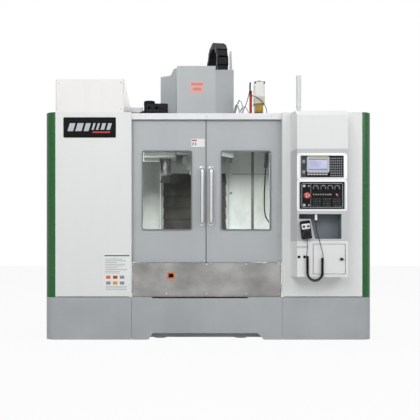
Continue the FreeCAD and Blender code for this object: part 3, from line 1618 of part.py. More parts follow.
def coil_axis(s):
    """Centre line of the hanging curly cord: down, round a U and up again."""
    left_run = coil_left[1] - coil_bend[1]
    turn = math.pi * coil_bend[2]
    if s < left_run:
        return Vector(coil_left[0], cord_y, coil_left[1] - s), Vector(0, 0, -1), Vector(-1, 0, 0)
    if s < left_run + turn:
        angle = (s - left_run) / coil_bend[2]
        out = Vector(-math.cos(angle), 0, -math.sin(angle))
        ahead = Vector(math.sin(angle), 0, -math.cos(angle))
        return Vector(coil_bend[0], cord_y, coil_bend[1]) + out * coil_bend[2], ahead, out
    up = s - left_run - turn
    return Vector(coil_right[0], cord_y, coil_bend[1] + up), Vector(0, 0, 1), Vector(1, 0, 0)


def coil_point(s, pitch):
    """A point on the curly cord and its direction there."""
    centre, ahead, out = coil_axis(s)
    across = Vector(0, 1, 0)
    radius = (coil_diameter - coil_wire) / 2
    angle = 2 * math.pi * s / pitch
    place = centre + (out * math.cos(angle) + across * math.sin(angle)) * radius
    swing = (across * math.cos(angle) - out * math.sin(angle)) * (2 * math.pi * radius / pitch)
    stretch = 1.0
    if abs(ahead.z) < 1 - 1e-9:
        stretch = 1 + radius * math.cos(angle) / coil_bend[2]
    return place, (ahead * stretch + swing).normalize()


def arc_from(start, direction, end):
    """The arc that leaves a point along a direction and reaches another."""
    chord = end - start
    length = chord.Length
    unit = Vector(chord).normalize()
    side = direction - unit * direction.dot(unit)
    if side.Length < 1e-7:
        return Part.LineSegment(start, end).toShape()
    angle = direction.getAngle(chord)
    middle = start + chord * 0.5 + side.normalize() * (length / 2 * math.tan(angle / 2))
    return Part.Arc(start, middle, end).toShape()


def biarc(p0, t0, p1, t1):
    """Two arcs that join two points with the given directions."""
    v = p1 - p0
    a = 2 * (t0.dot(t1) - 1)
    b = -2 * v.dot(t0 + t1)
    c = v.dot(v)
    reach = (-b - math.sqrt(b * b - 4 * a * c)) / (2 * a) if abs(a) > 1e-9 else -c / b
    joint = (p0 + t0 * reach + p1 - t1 * reach) * 0.5
    first = arc_from(p0, t0, joint)
    last = arc_from(p1, t1 * -1, joint)
    return [first, last]


def curly_cord():
    """Curly cord as one unbroken tube, with short straight ends pointing up."""
    length = (coil_left[1] - coil_bend[1]) + math.pi * coil_bend[2] + (coil_right[1] - coil_bend[1])
    turns = round(length / coil_pitch)
    pitch = length / turns
    first, first_way = coil_point(0.0, pitch)
    last, last_way = coil_point(length, pitch)
    top = Vector(*cord_end_left)
    foot = Vector(*cord_end_right)
    down = Vector(0, 0, -1)
    up = Vector(0, 0, 1)
    entry = top + down * coil_wire
    leave = foot + down * coil_wire
    edges = [Part.LineSegment(top, entry).toShape()]
    edges += biarc(entry, down, first, first_way)
    places = [coil_point(length * k / (2 * turns), pitch) for k in range(2 * turns + 1)]
    for (p0, t0), (p1, t1) in zip(places, places[1:]):
        edges += biarc(p0, t0, p1, t1)
    edges += biarc(last, last_way, leave, up)
    edges.append(Part.LineSegment(leave, foot).toShape())
    path = Part.Wire(Part.__sortEdges__(edges))
    ring = Part.Wire(Part.makeCircle(coil_wire / 2, top, down))
    tube = path.makePipeShell([ring], True, False)
    samples = [coil_point(length * k / (16 * turns), pitch)[0] for k in range(16 * turns + 1)]
    gap = min((samples[i] - samples[j]).Length for i in range(len(samples))
              for j in range(i + 10, min(i + 40, len(samples)))) - coil_wire
    section = math.pi * coil_wire ** 2 / 4
    print("cord_coil turns", turns, "gap", round(gap, 2), "wire", round(path.Length, 1),
          "volume ratio", round(tube.Volume / (section * path.Length), 4))
    return tube


def lead(name, points):
    """A plain run of the pendant's cord through points chosen by hand."""
    tube, radii = swept_tube(points, lead_diameter / 2)
    print(name, "radii", [round(radius, 1) for radius in radii], "length",
          round(tube.Volume / (math.pi * lead_diameter ** 2 / 4), 1))
    return tube


save("bed_casting", bed())
save("levelling_feet", levelling_feet())
save("column_casting", column())
save("plinth_left", skirt_corner(-1))
save("plinth_right", skirt_corner(1))
save("plinth_centre", plinth_centre())
save("corner_trim_left", corner_trim(-1))
save("corner_trim_right", corner_trim(1))
save("left_front_panel", left_front_panel())
save("magazine_guard", magazine_guard())
save("console_housing", console_housing())
save("console_bezel", console_bezel())
save("display_unit", display_unit())
save("machine_panel", machine_panel())
save("emergency_stop", emergency_stop())
save("spindle_override_knob", knob(*spindle_knob_place))
save("feed_override_knob", knob(*feed_knob_place))
save("storage_door", storage_door())
save("door_left", door(-1))
save("door_right", door(1))
save("window_left", window(-1))
save("window_right", window(1))
save("handle_left", handle(-1))
save("handle_right", handle(1))
save("top_rail", top_rail())
save("steel_apron", steel_apron())
save("side_panel_left", side_panel(-1))
save("side_panel_right", side_panel(1))
save("splash_guard_left", splash_guard_left())
save("splash_guard_right", splash_guard_right())
save("electrical_cabinet", cabinet())
save("cabinet_door", cabinet_door())
save("lubricator", lubricator())
save("servo_motors", [servo_motor(spindle_x, y_motor_face, y_screw_z, (0, -1, 0)),
                      servo_motor(spindle_x, z_screw_y, column_top + column_shelf, (0, 0, 1))])
save("saddle", saddle())
save("x_motor", servo_motor(spindle_x + saddle_length / 2, spindle_y, x_screw_z, (1, 0, 0)))
save("table", table())
save("table_end_covers", table_end_covers())
save("x_screw", screw(spindle_x - saddle_length / 2 + screw_end, spindle_y, x_screw_z,
                      saddle_length - screw_end - running_gap, (1, 0, 0)))
save("y_screw", screw(spindle_x, y_motor_face + running_gap, y_screw_z, y_screw_length - running_gap,
                      (0, 1, 0)))
save("z_screw", screw(spindle_x, z_screw_y, z_screw_foot,
                      column_top + column_shelf - running_gap - z_screw_foot, (0, 0, 1)))
save("head_casting", head_casting())
save("head_cover", head_cover())
save("spindle_motor", spindle_motor())
save("spindle", spindle())
save("energy_chain", energy_chain())
save("y_way_cover", way_cover_front())
save("z_way_cover", way_cover_upright())
save("changer_cam_box", cam_box())
save("changer_motor", changer_motor())
save("changer_hub", changer_hub())
save("changer_arm", changer_arm())
save("magazine_disc", magazine())
save("stack_light", stack_light())
save("pendant_case", pendant_case())
save("pendant_wheel", pendant_wheel())
save("cord_socket", cord_socket())
save("cord_coil", curly_cord())
save("cord_lead_upper", lead("cord_lead_upper", cord_route_upper))
save("cord_lead_lower", lead("cord_lead_lower", cord_route_lower))
box = Part.makeCompound(list(made.values())).BoundBox
print("size", [round(value, 1) for value in (box.XMin, box.XMax, box.YMin, box.YMax, box.ZMin, box.ZMax)])
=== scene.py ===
# %% [markdown]
# # A vertical machining centre, photographed square to its doors
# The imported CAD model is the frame.  This script gives every node a real finish, adds the
# small things that show only in looks, such as seals, screws, printed fields and hoses, and
# sets the camera, floor and light of the photograph.  Lengths are metres, +X is the
# operator's right, -Y the front and +Z up.

# %%
import math

import bpy
import numpy as np
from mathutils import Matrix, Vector


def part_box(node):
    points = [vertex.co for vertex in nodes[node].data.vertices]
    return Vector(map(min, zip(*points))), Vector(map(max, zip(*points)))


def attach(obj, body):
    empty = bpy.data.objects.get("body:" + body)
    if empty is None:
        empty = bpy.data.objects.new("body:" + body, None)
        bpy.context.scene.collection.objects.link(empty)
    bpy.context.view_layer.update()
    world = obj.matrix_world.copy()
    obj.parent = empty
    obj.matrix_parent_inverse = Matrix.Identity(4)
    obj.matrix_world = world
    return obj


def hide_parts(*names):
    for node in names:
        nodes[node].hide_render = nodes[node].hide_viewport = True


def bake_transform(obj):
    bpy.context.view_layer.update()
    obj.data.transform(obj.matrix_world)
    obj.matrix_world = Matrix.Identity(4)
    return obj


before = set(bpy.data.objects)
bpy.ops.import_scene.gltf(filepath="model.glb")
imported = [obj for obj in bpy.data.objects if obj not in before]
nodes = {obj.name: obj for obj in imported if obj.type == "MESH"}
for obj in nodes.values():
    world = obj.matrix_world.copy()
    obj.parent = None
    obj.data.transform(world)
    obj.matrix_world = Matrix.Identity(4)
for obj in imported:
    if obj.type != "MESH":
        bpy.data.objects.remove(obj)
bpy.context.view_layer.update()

# %% [markdown]
# ## Camera
# The photograph keeps all verticals upright, so the camera is level.  Its vanishing point sits
# left of and below the middle of the picture, which a small lens shift reproduces.  The pixel
# values are places in the photograph's frame of 420 x 420.

# %%


def put(name, data):
    """A new object of a mesh, curve, light or camera, in the scene."""
    obj = bpy.data.objects.new(name, data)
    bpy.context.scene.collection.objects.link(obj)
    return obj


CAMERA_X = -0.40
CAMERA_HEIGHT = 0.80
CAMERA_DISTANCE = 6.0
PICTURE = 420
VANISHING_X = 166.5
VANISHING_Y = 255.0
METRES_PER_PIXEL = 0.00945
SENSOR = 36.0

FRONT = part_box("left_front_panel")[0].y      # the plane of the front sheets
camera_data = bpy.data.cameras.new("camera")
camera = put("camera", camera_data)
camera.location = (CAMERA_X, FRONT - CAMERA_DISTANCE, CAMERA_HEIGHT)
camera.rotation_euler = (math.pi / 2, 0, 0)
camera_data.sensor_width = SENSOR
camera_data.lens = SENSOR * CAMERA_DISTANCE / (PICTURE * METRES_PER_PIXEL)
camera_data.shift_x = (PICTURE / 2 - VANISHING_X) / PICTURE
camera_data.shift_y = (VANISHING_Y - PICTURE / 2) / PICTURE
camera_data.clip_end = 60
bpy.context.scene.camera = camera
bpy.context.scene.view_settings.view_transform = "Standard"
print("lens", round(camera_data.lens, 1), "shift", round(camera_data.shift_x, 3),
      round(camera_data.shift_y, 3))

# %% [markdown]
# ## Finishes as functions
# Sheet, castings, plastic, glass and print each have a function that makes their material from
# a colour and the scale of their marks.  Patterns read the place on the object in metres, so a
# grain has the same size on a knob and on a door: a scale of 900 is orange peel of about 1 mm.
#
# Two nodes do most of the work.  Map Range carries its value (socket 0) from one range (1 and 2)
# to another (3 and 4, or 0 to 1).  Mix goes by its factor (0) from one colour (6) to another (7).

# %%


def colour(code):
    """Linear colour of an sRGB hex code."""
    values = [int(code[i:i + 2], 16) / 255 for i in (0, 2, 4)]
    return tuple(v / 12.92 if v <= 0.04045 else ((v + 0.055) / 1.055) ** 2.4 for v in values) + (1.0,)


def add(tree, kind, sockets=None, out=0, **settings):
    """A shader node with its settings and a value or a link for each socket; gives one output."""
    node = tree.nodes.new("ShaderNode" + kind)
    for key, value in settings.items():
        setattr(node, key, value)
    for socket, source in (sockets or {}).items():
        if isinstance(source, bpy.types.NodeSocket):
            tree.links.new(source, node.inputs[socket])
        else:
            node.inputs[socket].default_value = source
    return node.outputs[out] if node.outputs else None


def material(name):
    """An empty node material and its node tree."""
    made = bpy.data.materials.new(name)
    made.use_nodes = True
    made.node_tree.nodes.clear()
    return made, made.node_tree


def speckle(tree, scale, detail=3.0, stretch=(1, 1, 1), rough=0.5):
    """Irregular marks of about one over scale metres, stretched along the object's axes."""
    place = add(tree, "TexCoord", out="Object")
    where = add(tree, "Mapping", {"Vector": place, "Scale": stretch})
    return add(tree, "TexNoise", {"Vector": where, "Scale": scale, "Detail": detail, "Roughness": rough})


BUMP_HEIGHT = 0.0006         # metres from the lows to the highs of a bump


def finish_surface(tree, base, roughness, relief, strength, metallic=0.0, **more):
    """A principled surface with its bump, joined to the output."""
    bump = add(tree, "Bump", {"Height": relief, "Strength": strength, "Distance": BUMP_HEIGHT})
    sockets = {"Base Color": base, "Roughness": roughness, "Metallic": metallic, "Normal": bump}
    sockets |= {name.replace("_", " "): value for name, value in more.items()}
    add(tree, "OutputMaterial", {"Surface": add(tree, "BsdfPrincipled", sockets)})


def powder_coat(name, code, rough=0.5, texture=900.0, strength=0.25, streak=0.06):
    """Powder-coated sheet: fine orange peel, faint rain-like dust streaks and hand marks."""
    made, tree = material(name)
    dust = add(tree, "MapRange", {0: speckle(tree, 14.0, 5.0, (1, 1, 0.12)), 1: 0.45, 2: 0.8, 4: streak})
    hands = add(tree, "MapRange", {0: speckle(tree, 2.2, 4.0), 1: 0.35, 2: 0.7, 4: streak})
    touch = speckle(tree, 9.0, 5.0)
    gloss = add(tree, "MapRange", {0: touch, 1: 0.3, 2: 0.7, 3: rough - 0.07, 4: rough + 0.08})
    worn = add(tree, "Mix", {0: dust, 6: colour(code), 7: colour("8a8a86")}, 2, data_type="RGBA")
    base = add(tree, "Mix", {0: hands, 6: worn, 7: colour("ffffff")}, 2, data_type="RGBA")
    finish_surface(tree, base, gloss, speckle(tree, texture, 2.0), strength, Coat_Weight=0.05,
                   Coat_Roughness=0.25, Specular_IOR_Level=0.3)
    return made


def plastic(name, code, rough=0.45, grain=1500.0, strength=0.3):
    """Moulded plastic with a spark-eroded grain and dust in its lows."""
    made, tree = material(name)
    dust = add(tree, "MapRange", {0: speckle(tree, 40.0, 5.0), 1: 0.5, 2: 0.85, 4: 0.05})
    gloss = add(tree, "MapRange", {0: speckle(tree, 25.0), 1: 0.3, 2: 0.7, 3: rough - 0.06, 4: rough + 0.1})
    base = add(tree, "Mix", {0: dust, 6: colour(code), 7: colour("9c9a92")}, 2, data_type="RGBA")
    finish_surface(tree, base, gloss, speckle(tree, grain, 1.0), strength, Specular_IOR_Level=0.14)
    return made


def metal(name, code, rough=0.3, stretch=(1, 1, 60), scale=60.0, strength=0.12):
    """Machined or brushed metal with directional marks."""
    made, tree = material(name)
    marks = speckle(tree, scale, 6.0, stretch, 0.7)
    bright = add(tree, "MapRange", {0: marks, 1: 0.35, 2: 0.75})
    gloss = add(tree, "MapRange", {0: marks, 1: 0.3, 2: 0.7, 3: rough - 0.08, 4: rough + 0.12})
    lines = add(tree, "Mix", {0: bright, 6: colour(code), 7: colour("d9d8d4")}, 2, data_type="RGBA")
    base = add(tree, "Mix", {0: 0.75, 6: lines, 7: colour(code)}, 2, data_type="RGBA")
    finish_surface(tree, base, gloss, marks, strength, 1.0)
    return made


def casting(name, code):
    """Painted iron casting: filled and sprayed, with a soft rolling surface."""
    made, tree = material(name)
    lumps = speckle(tree, 60.0, 4.0)
    dust = add(tree, "MapRange", {0: speckle(tree, 7.0, 6.0), 1: 0.45, 2: 0.75, 4: 0.22})
    gloss = add(tree, "MapRange", {0: lumps, 1: 0.3, 2: 0.7, 3: 0.42, 4: 0.6})
    base = add(tree, "Mix", {0: dust, 6: colour(code), 7: colour("77766e")}, 2, data_type="RGBA")
    finish_surface(tree, base, gloss, lumps, 0.35)
    return made


def polished_sheet():
    """Polished steel sheet with grinding lines along its length and dull hand prints."""
    made, tree = material("polished_steel_sheet")
    lines = speckle(tree, 300.0, 4.0, (0.03, 1, 1), 0.7)
    prints = speckle(tree, 3.0, 3.0, (1, 1, 1.3), 0.5)
    shade = add(tree, "MapRange", {0: prints, 1: 0.3, 2: 0.75})
    gloss = add(tree, "MapRange", {0: prints, 1: 0.35, 2: 0.7, 3: 0.2, 4: 0.36})
    tone = add(tree, "Mix", {0: shade, 6: colour("858483"), 7: colour("b3b2b0")}, 2, data_type="RGBA")
    finish_surface(tree, tone, gloss, lines, 0.05, 1.0)
    return made


def door_glass():
    """Clear laminated pane: grey tint, mirror-like surface by Fresnel, dried coolant film."""
    made, tree = material("laminated_door_glass")
    marks = speckle(tree, 6.0, 7.0, (1, 1, 0.5), 0.6)
    film = add(tree, "MapRange", {0: marks, 1: 0.5, 2: 0.85, 4: 0.16})
    clear = add(tree, "BsdfTransparent", {"Color": colour("eff0ee")})
    shine = add(tree, "BsdfPrincipled", {"Base Color": colour("a09f9a"), "Roughness": 0.06})
    share = add(tree, "Math", {0: add(tree, "Fresnel", {"IOR": 1.45}), 1: film}, operation="ADD")
    add(tree, "OutputMaterial", {"Surface": add(tree, "MixShader", {0: share, 1: clear, 2: shine})})
    return made


def stop_red():
    """Moulded mushroom head, orange-red, paler where it is worn."""
    made, tree = material("stop_button_red")
    worn = add(tree, "MapRange", {0: speckle(tree, 60.0, 5.0), 1: 0.45, 2: 0.7, 4: 0.35})
    base = add(tree, "Mix", {0: worn, 6: colour("d8401f"), 7: colour("f2a184")}, 2, data_type="RGBA")
    finish_surface(tree, base, 0.3, speckle(tree, 900.0), 0.1, Coat_Weight=0.4)
    return made


def oil_tank():
    """Oil unit by height: dark foot, amber pump, milky tank with oil up to its level, dark lid.
    Each step up fades to the next colour over a band of a millimetre or more."""
    made, tree = material("milky_oil_tank")
    low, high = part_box("lubricator")
    level, pump_top = low.z + (high.z - low.z) * 0.6, low.z + 0.186
    place = add(tree, "TexCoord", out="Object")
    height = add(tree, "SeparateXYZ", {"Vector": place}, 2)
    cast = add(tree, "MapRange", {0: speckle(tree, 30.0), 1: 0.4, 2: 0.6})
    pump = add(tree, "Mix", {0: cast, 6: colour("a78d4a"), 7: colour("8f7738")}, 2, data_type="RGBA")
    tank = colour("e9e9e4")
    for start, end, below, above in ((level - 0.004, level + 0.004, colour("cfc7ae"), tank),
                                     (pump_top, pump_top + 0.002, pump, None),
                                     (low.z + 0.1, low.z + 0.101, colour("222326"), None),
                                     (high.z - 0.021, high.z - 0.02, None, colour("2a2b2d"))):
        share = add(tree, "MapRange", {0: height, 1: start, 2: end})
        tank = add(tree, "Mix", {0: share, 6: below or tank, 7: above or tank}, 2, data_type="RGBA")
    finish_surface(tree, tank, 0.35, speckle(tree, 500.0), 0.1)
    return made


def ink(name, code, rough=0.45, dust=0.1, shine=0.3):
    """Printed film: flat ink with a faint grain, under a thin clear coat."""
    made, tree = material(name)
    wear = add(tree, "MapRange", {0: speckle(tree, 30.0, 4.0), 1: 0.5, 2: 0.8, 4: dust})
    base = add(tree, "Mix", {0: wear, 6: colour(code), 7: colour("8c8c86")}, 2, data_type="RGBA")
    finish_surface(tree, base, rough, speckle(tree, 1800.0, 2.0), 0.05, Coat_Weight=shine / 4,
                   Coat_Roughness=0.2, Specular_IOR_Level=shine)
    return made


def lit(name, code, strength, base="202022"):
    """A lit film: its own light over a dark base, a little uneven from side to side."""
    made, tree = material(name)
    even = add(tree, "MapRange", {0: speckle(tree, 12.0, 2.0), 1: 0.3, 2: 0.7, 3: 0.92})
    shade = add(tree, "Mix", {0: even, 6: colour("000000"), 7: colour(code)}, 2, data_type="RGBA")
    finish_surface(tree, colour(base), 0.25, speckle(tree, 900.0), 0.03, Emission_Color=shade,
                   Emission_Strength=strength)
    return made


print("helpers ready")

# %% [markdown]
# ## Surfaces built from formulas
# Sheet, hoses and knobs are drawn by a few builders.  Each works out rings of points by a
# formula and joins them to a closed skin: a rounded plate or frame, a tube along a smooth line,
# a turned body, or a flat field with given corners.

# %%


def shape(name, points, faces, made, body, smooth=True):
    """A mesh from points and faces, with its material, riding on a body."""
    data = bpy.data.meshes.new(name)
    data.from_pydata(np.array(points, float).tolist(), [], faces)
    data.polygons.foreach_set("use_smooth", [smooth] * len(data.polygons))
    data.materials.append(made)
    data.validate()
    obj = put(name, data)
    if body:
        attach(obj, body)
    return obj


def front_facing(u, v, w):
    """Local right, up and out, seen from the machine's front."""
    return np.stack([u, -w, v], -1)


def outline(width, height, radius, inset):
    """A rounded rectangle about 0, each corner a quarter circle of the given radius, drawn in by
    inset; counter-clockwise."""
    radius = max(radius - inset, 1e-5)
    a, b = width / 2 - inset - radius, height / 2 - inset - radius
    turn = np.linspace(0, math.pi / 2, CORNER_POINTS)
    parts = []
    for k, (sx, sy) in enumerate(((1, 1), (-1, 1), (-1, -1), (1, -1))):
        angle = turn + k * math.pi / 2
        parts.append(np.stack([sx * a + radius * np.cos(angle), sy * b + radius * np.sin(angle)], -1))
    return np.concatenate(parts)


def loops_to_mesh(loops, closed=False):
    """Faces between equal rings of points; the ends are capped, or joined where closed."""
    count, last = len(loops[0]), (len(loops) - 1) * len(loops[0])
    k = np.arange(count)
    after = (k + 1) % count
    here = np.arange(len(loops) if closed else len(loops) - 1)[:, None] * count
    above = (here + count) % (last + count)
    faces = np.stack([here + k, here + after, above + after, above + k], -1).reshape(-1, 4).tolist()
    if not closed:
        faces += [k[::-1].tolist(), (last + k).tolist()]
    return np.concatenate(loops), faces


def plate(name, centre, size, depth, made, radius=0.004, body="machine", edge=0.0006, turn=front_facing):
    """A rounded plate: its outline rises straight from the back, then turns over a small edge
    round of three rings to the flat face.  size is width and height, depth is outwards."""
    loops = []
    for inset, out in ((0.0, 0.0), (0.0, depth - edge), (edge * 0.3, depth - edge * 0.3), (edge, depth)):
        flat = outline(size[0], size[1], radius, inset)
        loops.append(turn(flat[:, 0], flat[:, 1], np.full(len(flat), out)) + np.array(centre))
    return shape(name, *loops_to_mesh(loops), made, body, False)


def ring_plate(name, centre, size, width, depth, made, radius=0.006, body="machine"):
    """A flat rounded frame: outer wall up, over to the inner wall and down, closed behind."""
    loops = []
    for inset, out in ((0.0, 0.0), (0.0, depth), (width, depth), (width, 0.0)):
        flat = outline(size[0], size[1], max(radius, width + 0.0005), inset)
        loops.append(front_facing(flat[:, 0], flat[:, 1], np.full(len(flat), out)) + np.array(centre))
    return shape(name, *loops_to_mesh(loops, closed=True), made, body, False)


def flat_field(name, back, depth, made, body="machine"):
    """A flat field whose back has the given points on a plane Y."""
    return shape(name, *loops_to_mesh([back, back - np.array([0, depth, 0])]), made, body, False)


def arc_field(name, centre, inner, outer, start, end, made, body="machine", count=24):
    """A flat arc band: angles run clockwise from straight up, in degrees."""
    a = np.radians(np.linspace(start, end, count))
    ring = np.concatenate([np.stack([outer * np.sin(a), outer * np.cos(a)], -1),
                           np.stack([inner * np.sin(a), inner * np.cos(a)], -1)[::-1]])[::-1]
    back = np.stack([ring[:, 0], np.zeros(len(ring)), ring[:, 1]], -1) + np.array(centre)
    return flat_field(name, back, PRINT, made, body)


def smooth_line(points, steps):
    """Catmull-Rom curve through points."""
    p = np.array(points, float)
    out = []
    for i in range(len(p) - 1):
        p1, p2 = p[i], p[i + 1]
        p0 = p[i - 1] if i else p1 * 2 - p2
        p3 = p[i + 2] if i + 2 < len(p) else p2 * 2 - p1
        for t in np.arange(steps) / steps:
            out.append(0.5 * (2 * p1 + (p2 - p0) * t + (2 * p0 - 5 * p1 + 4 * p2 - p3) * t * t
                              + (3 * p1 - p0 - 3 * p2 + p3) * t ** 3))
    return np.array([*out, p[-1]])


def tube(name, line, radius, made, body="machine", sides=12):
    """A round section of the given radius carried along a line: each ring stands square to the
    line, and its frame is turned as little as possible from the one before."""
    line = np.array(line, float)
    ahead = np.roll(line, -1, 0) - np.roll(line, 1, 0)
    ahead[0], ahead[-1] = line[1] - line[0], line[-1] - line[-2]
    ahead /= np.linalg.norm(ahead, axis=1)[:, None]
    side = np.cross(ahead[0], [0.0, 0.0, 1.0])
    if np.linalg.norm(side) < 0.1:
        side = np.cross(ahead[0], [1.0, 0.0, 0.0])
    angle = np.arange(sides) * 2 * math.pi / sides
    loops = []
    for point, way in zip(line, ahead):
        side = side - way * (side @ way)
        side /= np.linalg.norm(side)
        other = np.cross(way, side)
        loops.append(point + radius * (np.outer(np.cos(angle), side) + np.outer(np.sin(angle), other)))
    return shape(name, *loops_to_mesh(loops), made, body)


def hose(name, points, steps, radius, made=None, lift=0.0, sides=12):
    """A fixed line through points, which may be given from a height upwards."""
    tube(name, smooth_line(np.array(points) + (0, 0, lift), steps), radius, made or cord_rubber, sides=sides)


def turned(name, centre, profile, made, body="machine", axis="Y", sides=32):
    """A turned body: (radius, height) pairs swept round an axis; Y points out of the front."""
    angle = np.arange(sides) * 2 * math.pi / sides
    loops = []
    for radius, height in profile:
        a, b = radius * np.cos(angle), radius * np.sin(angle)
        h = np.full(sides, height)
        loops.append(np.stack([a, -h, b] if axis == "Y" else [a, b, h], -1) + np.array(centre))
    return shape(name, *loops_to_mesh(loops), made, body)


def dome_screws(name, places, radius=0.006, body="machine"):
    """Button-head screws with a hexagon socket drawn as a dished middle."""
    profile = [(radius * share, radius * rise) for share, rise in
               ((1, 0.0), (1, 0.25), (0.85, 0.5), (0.5, 0.62), (0.42, 0.62), (0.4, 0.2))]
    for number, at in enumerate(places):
        turned(f"{name}_{number}", at, [*profile, (TIP, radius * 0.2)], steel_handle, body, sides=20)


CORNER_POINTS = 5            # points on a rounded rectangle's corner
PRINT = 0.0004               # height of a print over what carries it
FILM = 0.0008                # height of a film or label
THIN = 0.0003                # height of a thinner print
TIP = 0.0001                 # radius that closes a turned body
print("builders ready")

# %% [markdown]
# ## Finishes of the machine
# Every node of the frame gets its finish here, and the larger ones a live bevel, because an
# edge that catches light is what tells folded sheet from a drawn block.

# %%
white_paint = powder_coat("white_powder_coat", "e8e9e9", 0.42, streak=0.03)  # enclosure panels
guard_paint = powder_coat("guard_powder_coat", "f0efed", 0.45, streak=0.05)  # magazine guard
rail_paint = powder_coat("rail_powder_coat", "ececef", 0.4)  # door rail
door_paint = powder_coat("door_powder_coat", "b3b7ba", 0.36)  # sliding doors
skirt_paint = powder_coat("skirt_powder_coat", "a9adb0", 0.5, 500.0, 0.35, 0.12)  # base and sides
cover_paint = powder_coat("cover_powder_coat", "b9bdc0", 0.42)  # head cover
console_paint = powder_coat("console_powder_coat", "c5c8ca", 0.45, 700.0, 0.3)  # console middle
cabinet_paint = powder_coat("cabinet_powder_coat", "a9adb0", 0.5, 600.0, 0.3)  # rear cabinet
guard_inner = powder_coat("splash_sheet_paint", "c3c5c3", 0.4, streak=0.2)  # wet inner sheets
green_enamel = powder_coat("green_enamel", "1b5e2a", 0.26, 1200.0, 0.05, 0.012)  # corner trims
iron_paint = casting("casting_paint", "c2c5c4")  # bed, column, head
iron_bare = metal("ground_cast_iron", "75777a", 0.35, (1, 40, 1), 120.0)  # table
steel_dark = metal("oiled_steel", "55575a", 0.32)  # screws, spindle
steel_handle = metal("satin_steel", "cfd0d2", 0.14, (60, 60, 1), 80.0, 0.01)  # handles
motor_paint = plastic("motor_black_paint", "15161a", 0.42, 700.0, 0.2)  # motors
pot_plastic = plastic("pot_plastic", "1c1c1e", 0.5)  # magazine pots
chain_plastic = plastic("cable_carrier_nylon", "17181a", 0.5, 900.0, 0.25)  # cable carrier
case_plastic = plastic("pendant_plastic", "17171a", 0.42)  # pendant and knobs
key_plastic = plastic("panel_film", "0b0c0e", 0.4, 400.0, 0.15)  # display and panel
lamp_plastic = plastic("lamp_plastic", "dfe3e2", 0.3, 300.0, 0.05)  # stack light
cord_rubber = plastic("cord_polyurethane", "101012", 0.38, 2500.0, 0.2)  # cords and hoses
seal_rubber = plastic("seal_rubber", "1b1c1d", 0.6, 2000.0, 0.3)  # dark gaskets
gasket_grey = plastic("window_gasket", "7b8184", 0.6, 2000.0, 0.3)  # round the panes
# painted shade and reflection: the way covers' dark brown stands for the shade on them and the brownish
# reflection of their steel plates
shaded_way_cover = plastic("way_cover_painted_shade", "2e2c28", 0.42, 600.0, 0.2)  # sliding covers
pale_metal = metal("anodised_aluminium", "d4d5d6", 0.35, (1, 1, 40), 200.0, 0.08)  # socket, bezels
apron_steel = polished_sheet()
glass = door_glass()
red_plastic = stop_red()
tank_finish = oil_tank()

FINISHES = {
    white_paint: "left_front_panel console_housing storage_door",
    guard_paint: "magazine_guard",
    rail_paint: "top_rail",
    door_paint: "door_left door_right",
    skirt_paint: "plinth_left plinth_centre plinth_right side_panel_left side_panel_right",
    cover_paint: "head_cover",
    console_paint: "console_bezel",
    cabinet_paint: "electrical_cabinet cabinet_door",
    guard_inner: "splash_guard_left splash_guard_right",
    green_enamel: "corner_trim_left corner_trim_right",
    iron_paint: "bed_casting column_casting saddle head_casting changer_cam_box",
    iron_bare: "table",
    apron_steel: "steel_apron table_end_covers",
    steel_dark: "levelling_feet spindle x_screw y_screw z_screw changer_hub changer_arm",
    steel_handle: "handle_left handle_right",
    motor_paint: "servo_motors x_motor changer_motor spindle_motor",
    pot_plastic: "magazine_disc",
    chain_plastic: "energy_chain",
    shaded_way_cover: "y_way_cover z_way_cover",
    case_plastic: "pendant_case pendant_wheel spindle_override_knob feed_override_knob",
    key_plastic: "display_unit machine_panel",
    lamp_plastic: "stack_light",
    pale_metal: "cord_socket",
    cord_rubber: "cord_coil cord_lead_upper cord_lead_lower",
    red_plastic: "emergency_stop",
    glass: "window_left window_right",
    tank_finish: "lubricator",
}
BEVELS = {
    0.0012: "left_front_panel console_housing storage_door magazine_guard top_rail side_panel_left "
            "side_panel_right plinth_left plinth_centre plinth_right steel_apron cabinet_door",
    0.0016: "door_left door_right console_bezel electrical_cabinet lubricator display_unit pendant_case",
    0.0004: "machine_panel spindle_override_knob feed_override_knob",
    0.004: "bed_casting saddle head_casting changer_cam_box table servo_motors x_motor spindle_motor",
}
SHARP = math.radians(40)     # a bevel takes only edges sharper than this

for made, names in FINISHES.items():
    for name in names.split():
        nodes[name].data.materials.clear()
        nodes[name].data.materials.append(made)
for width, names in BEVELS.items():
    for name in names.split():
        bevel = nodes[name].modifiers.new("edge_round", "BEVEL")
        bevel.width = width
        bevel.segments = 2
        bevel.limit_method = "ANGLE"
        bevel.angle_limit = SHARP
        bevel.use_clamp_overlap = True
        bevel.harden_normals = True
print("finished nodes, left over:", sorted(set(nodes) - set(" ".join(FINISHES.values()).split())))

# %% [markdown]
# ## The pendant's cord
# Two plain leads and one curly run between them.  Each is one smooth spline; the curly run's
# turns are worked out by a loop along a line that hangs down, turns and rises again.

# %%
UPPER_LEAD = [(0.8832, -1.247, 0.9466), (0.8889, -1.247, 0.9), (0.886, -1.252, 0.852),
              (0.8815, -1.255, 0.822), (0.8815, -1.255, 0.805)]
LOWER_LEAD = [(0.9785, -1.19, 1.104), (0.9785, -1.19, 1.062), (0.981, -1.212, 1.018), (0.99, -1.24, 0.966),
              (1.004, -1.25, 0.905), (1.02, -1.246, 0.846), (1.032, -1.239, 0.815), (1.032, -1.239, 0.788)]
LEAD_DIAMETER = 0.006
COIL_WIRE = 0.006
COIL_RADIUS = 0.0095         # to the middle of the wire
COIL_Y = -1.247
COIL_LEFT = (0.8885, 0.791)  # X and top Z of the falling leg
COIL_RIGHT = (1.025, 0.774)
COIL_BOTTOM = 0.634          # height of the turn's middle
COIL_BEND = (COIL_RIGHT[0] - COIL_LEFT[0]) / 2
TURNS = 68
POINTS_A_TURN = 12


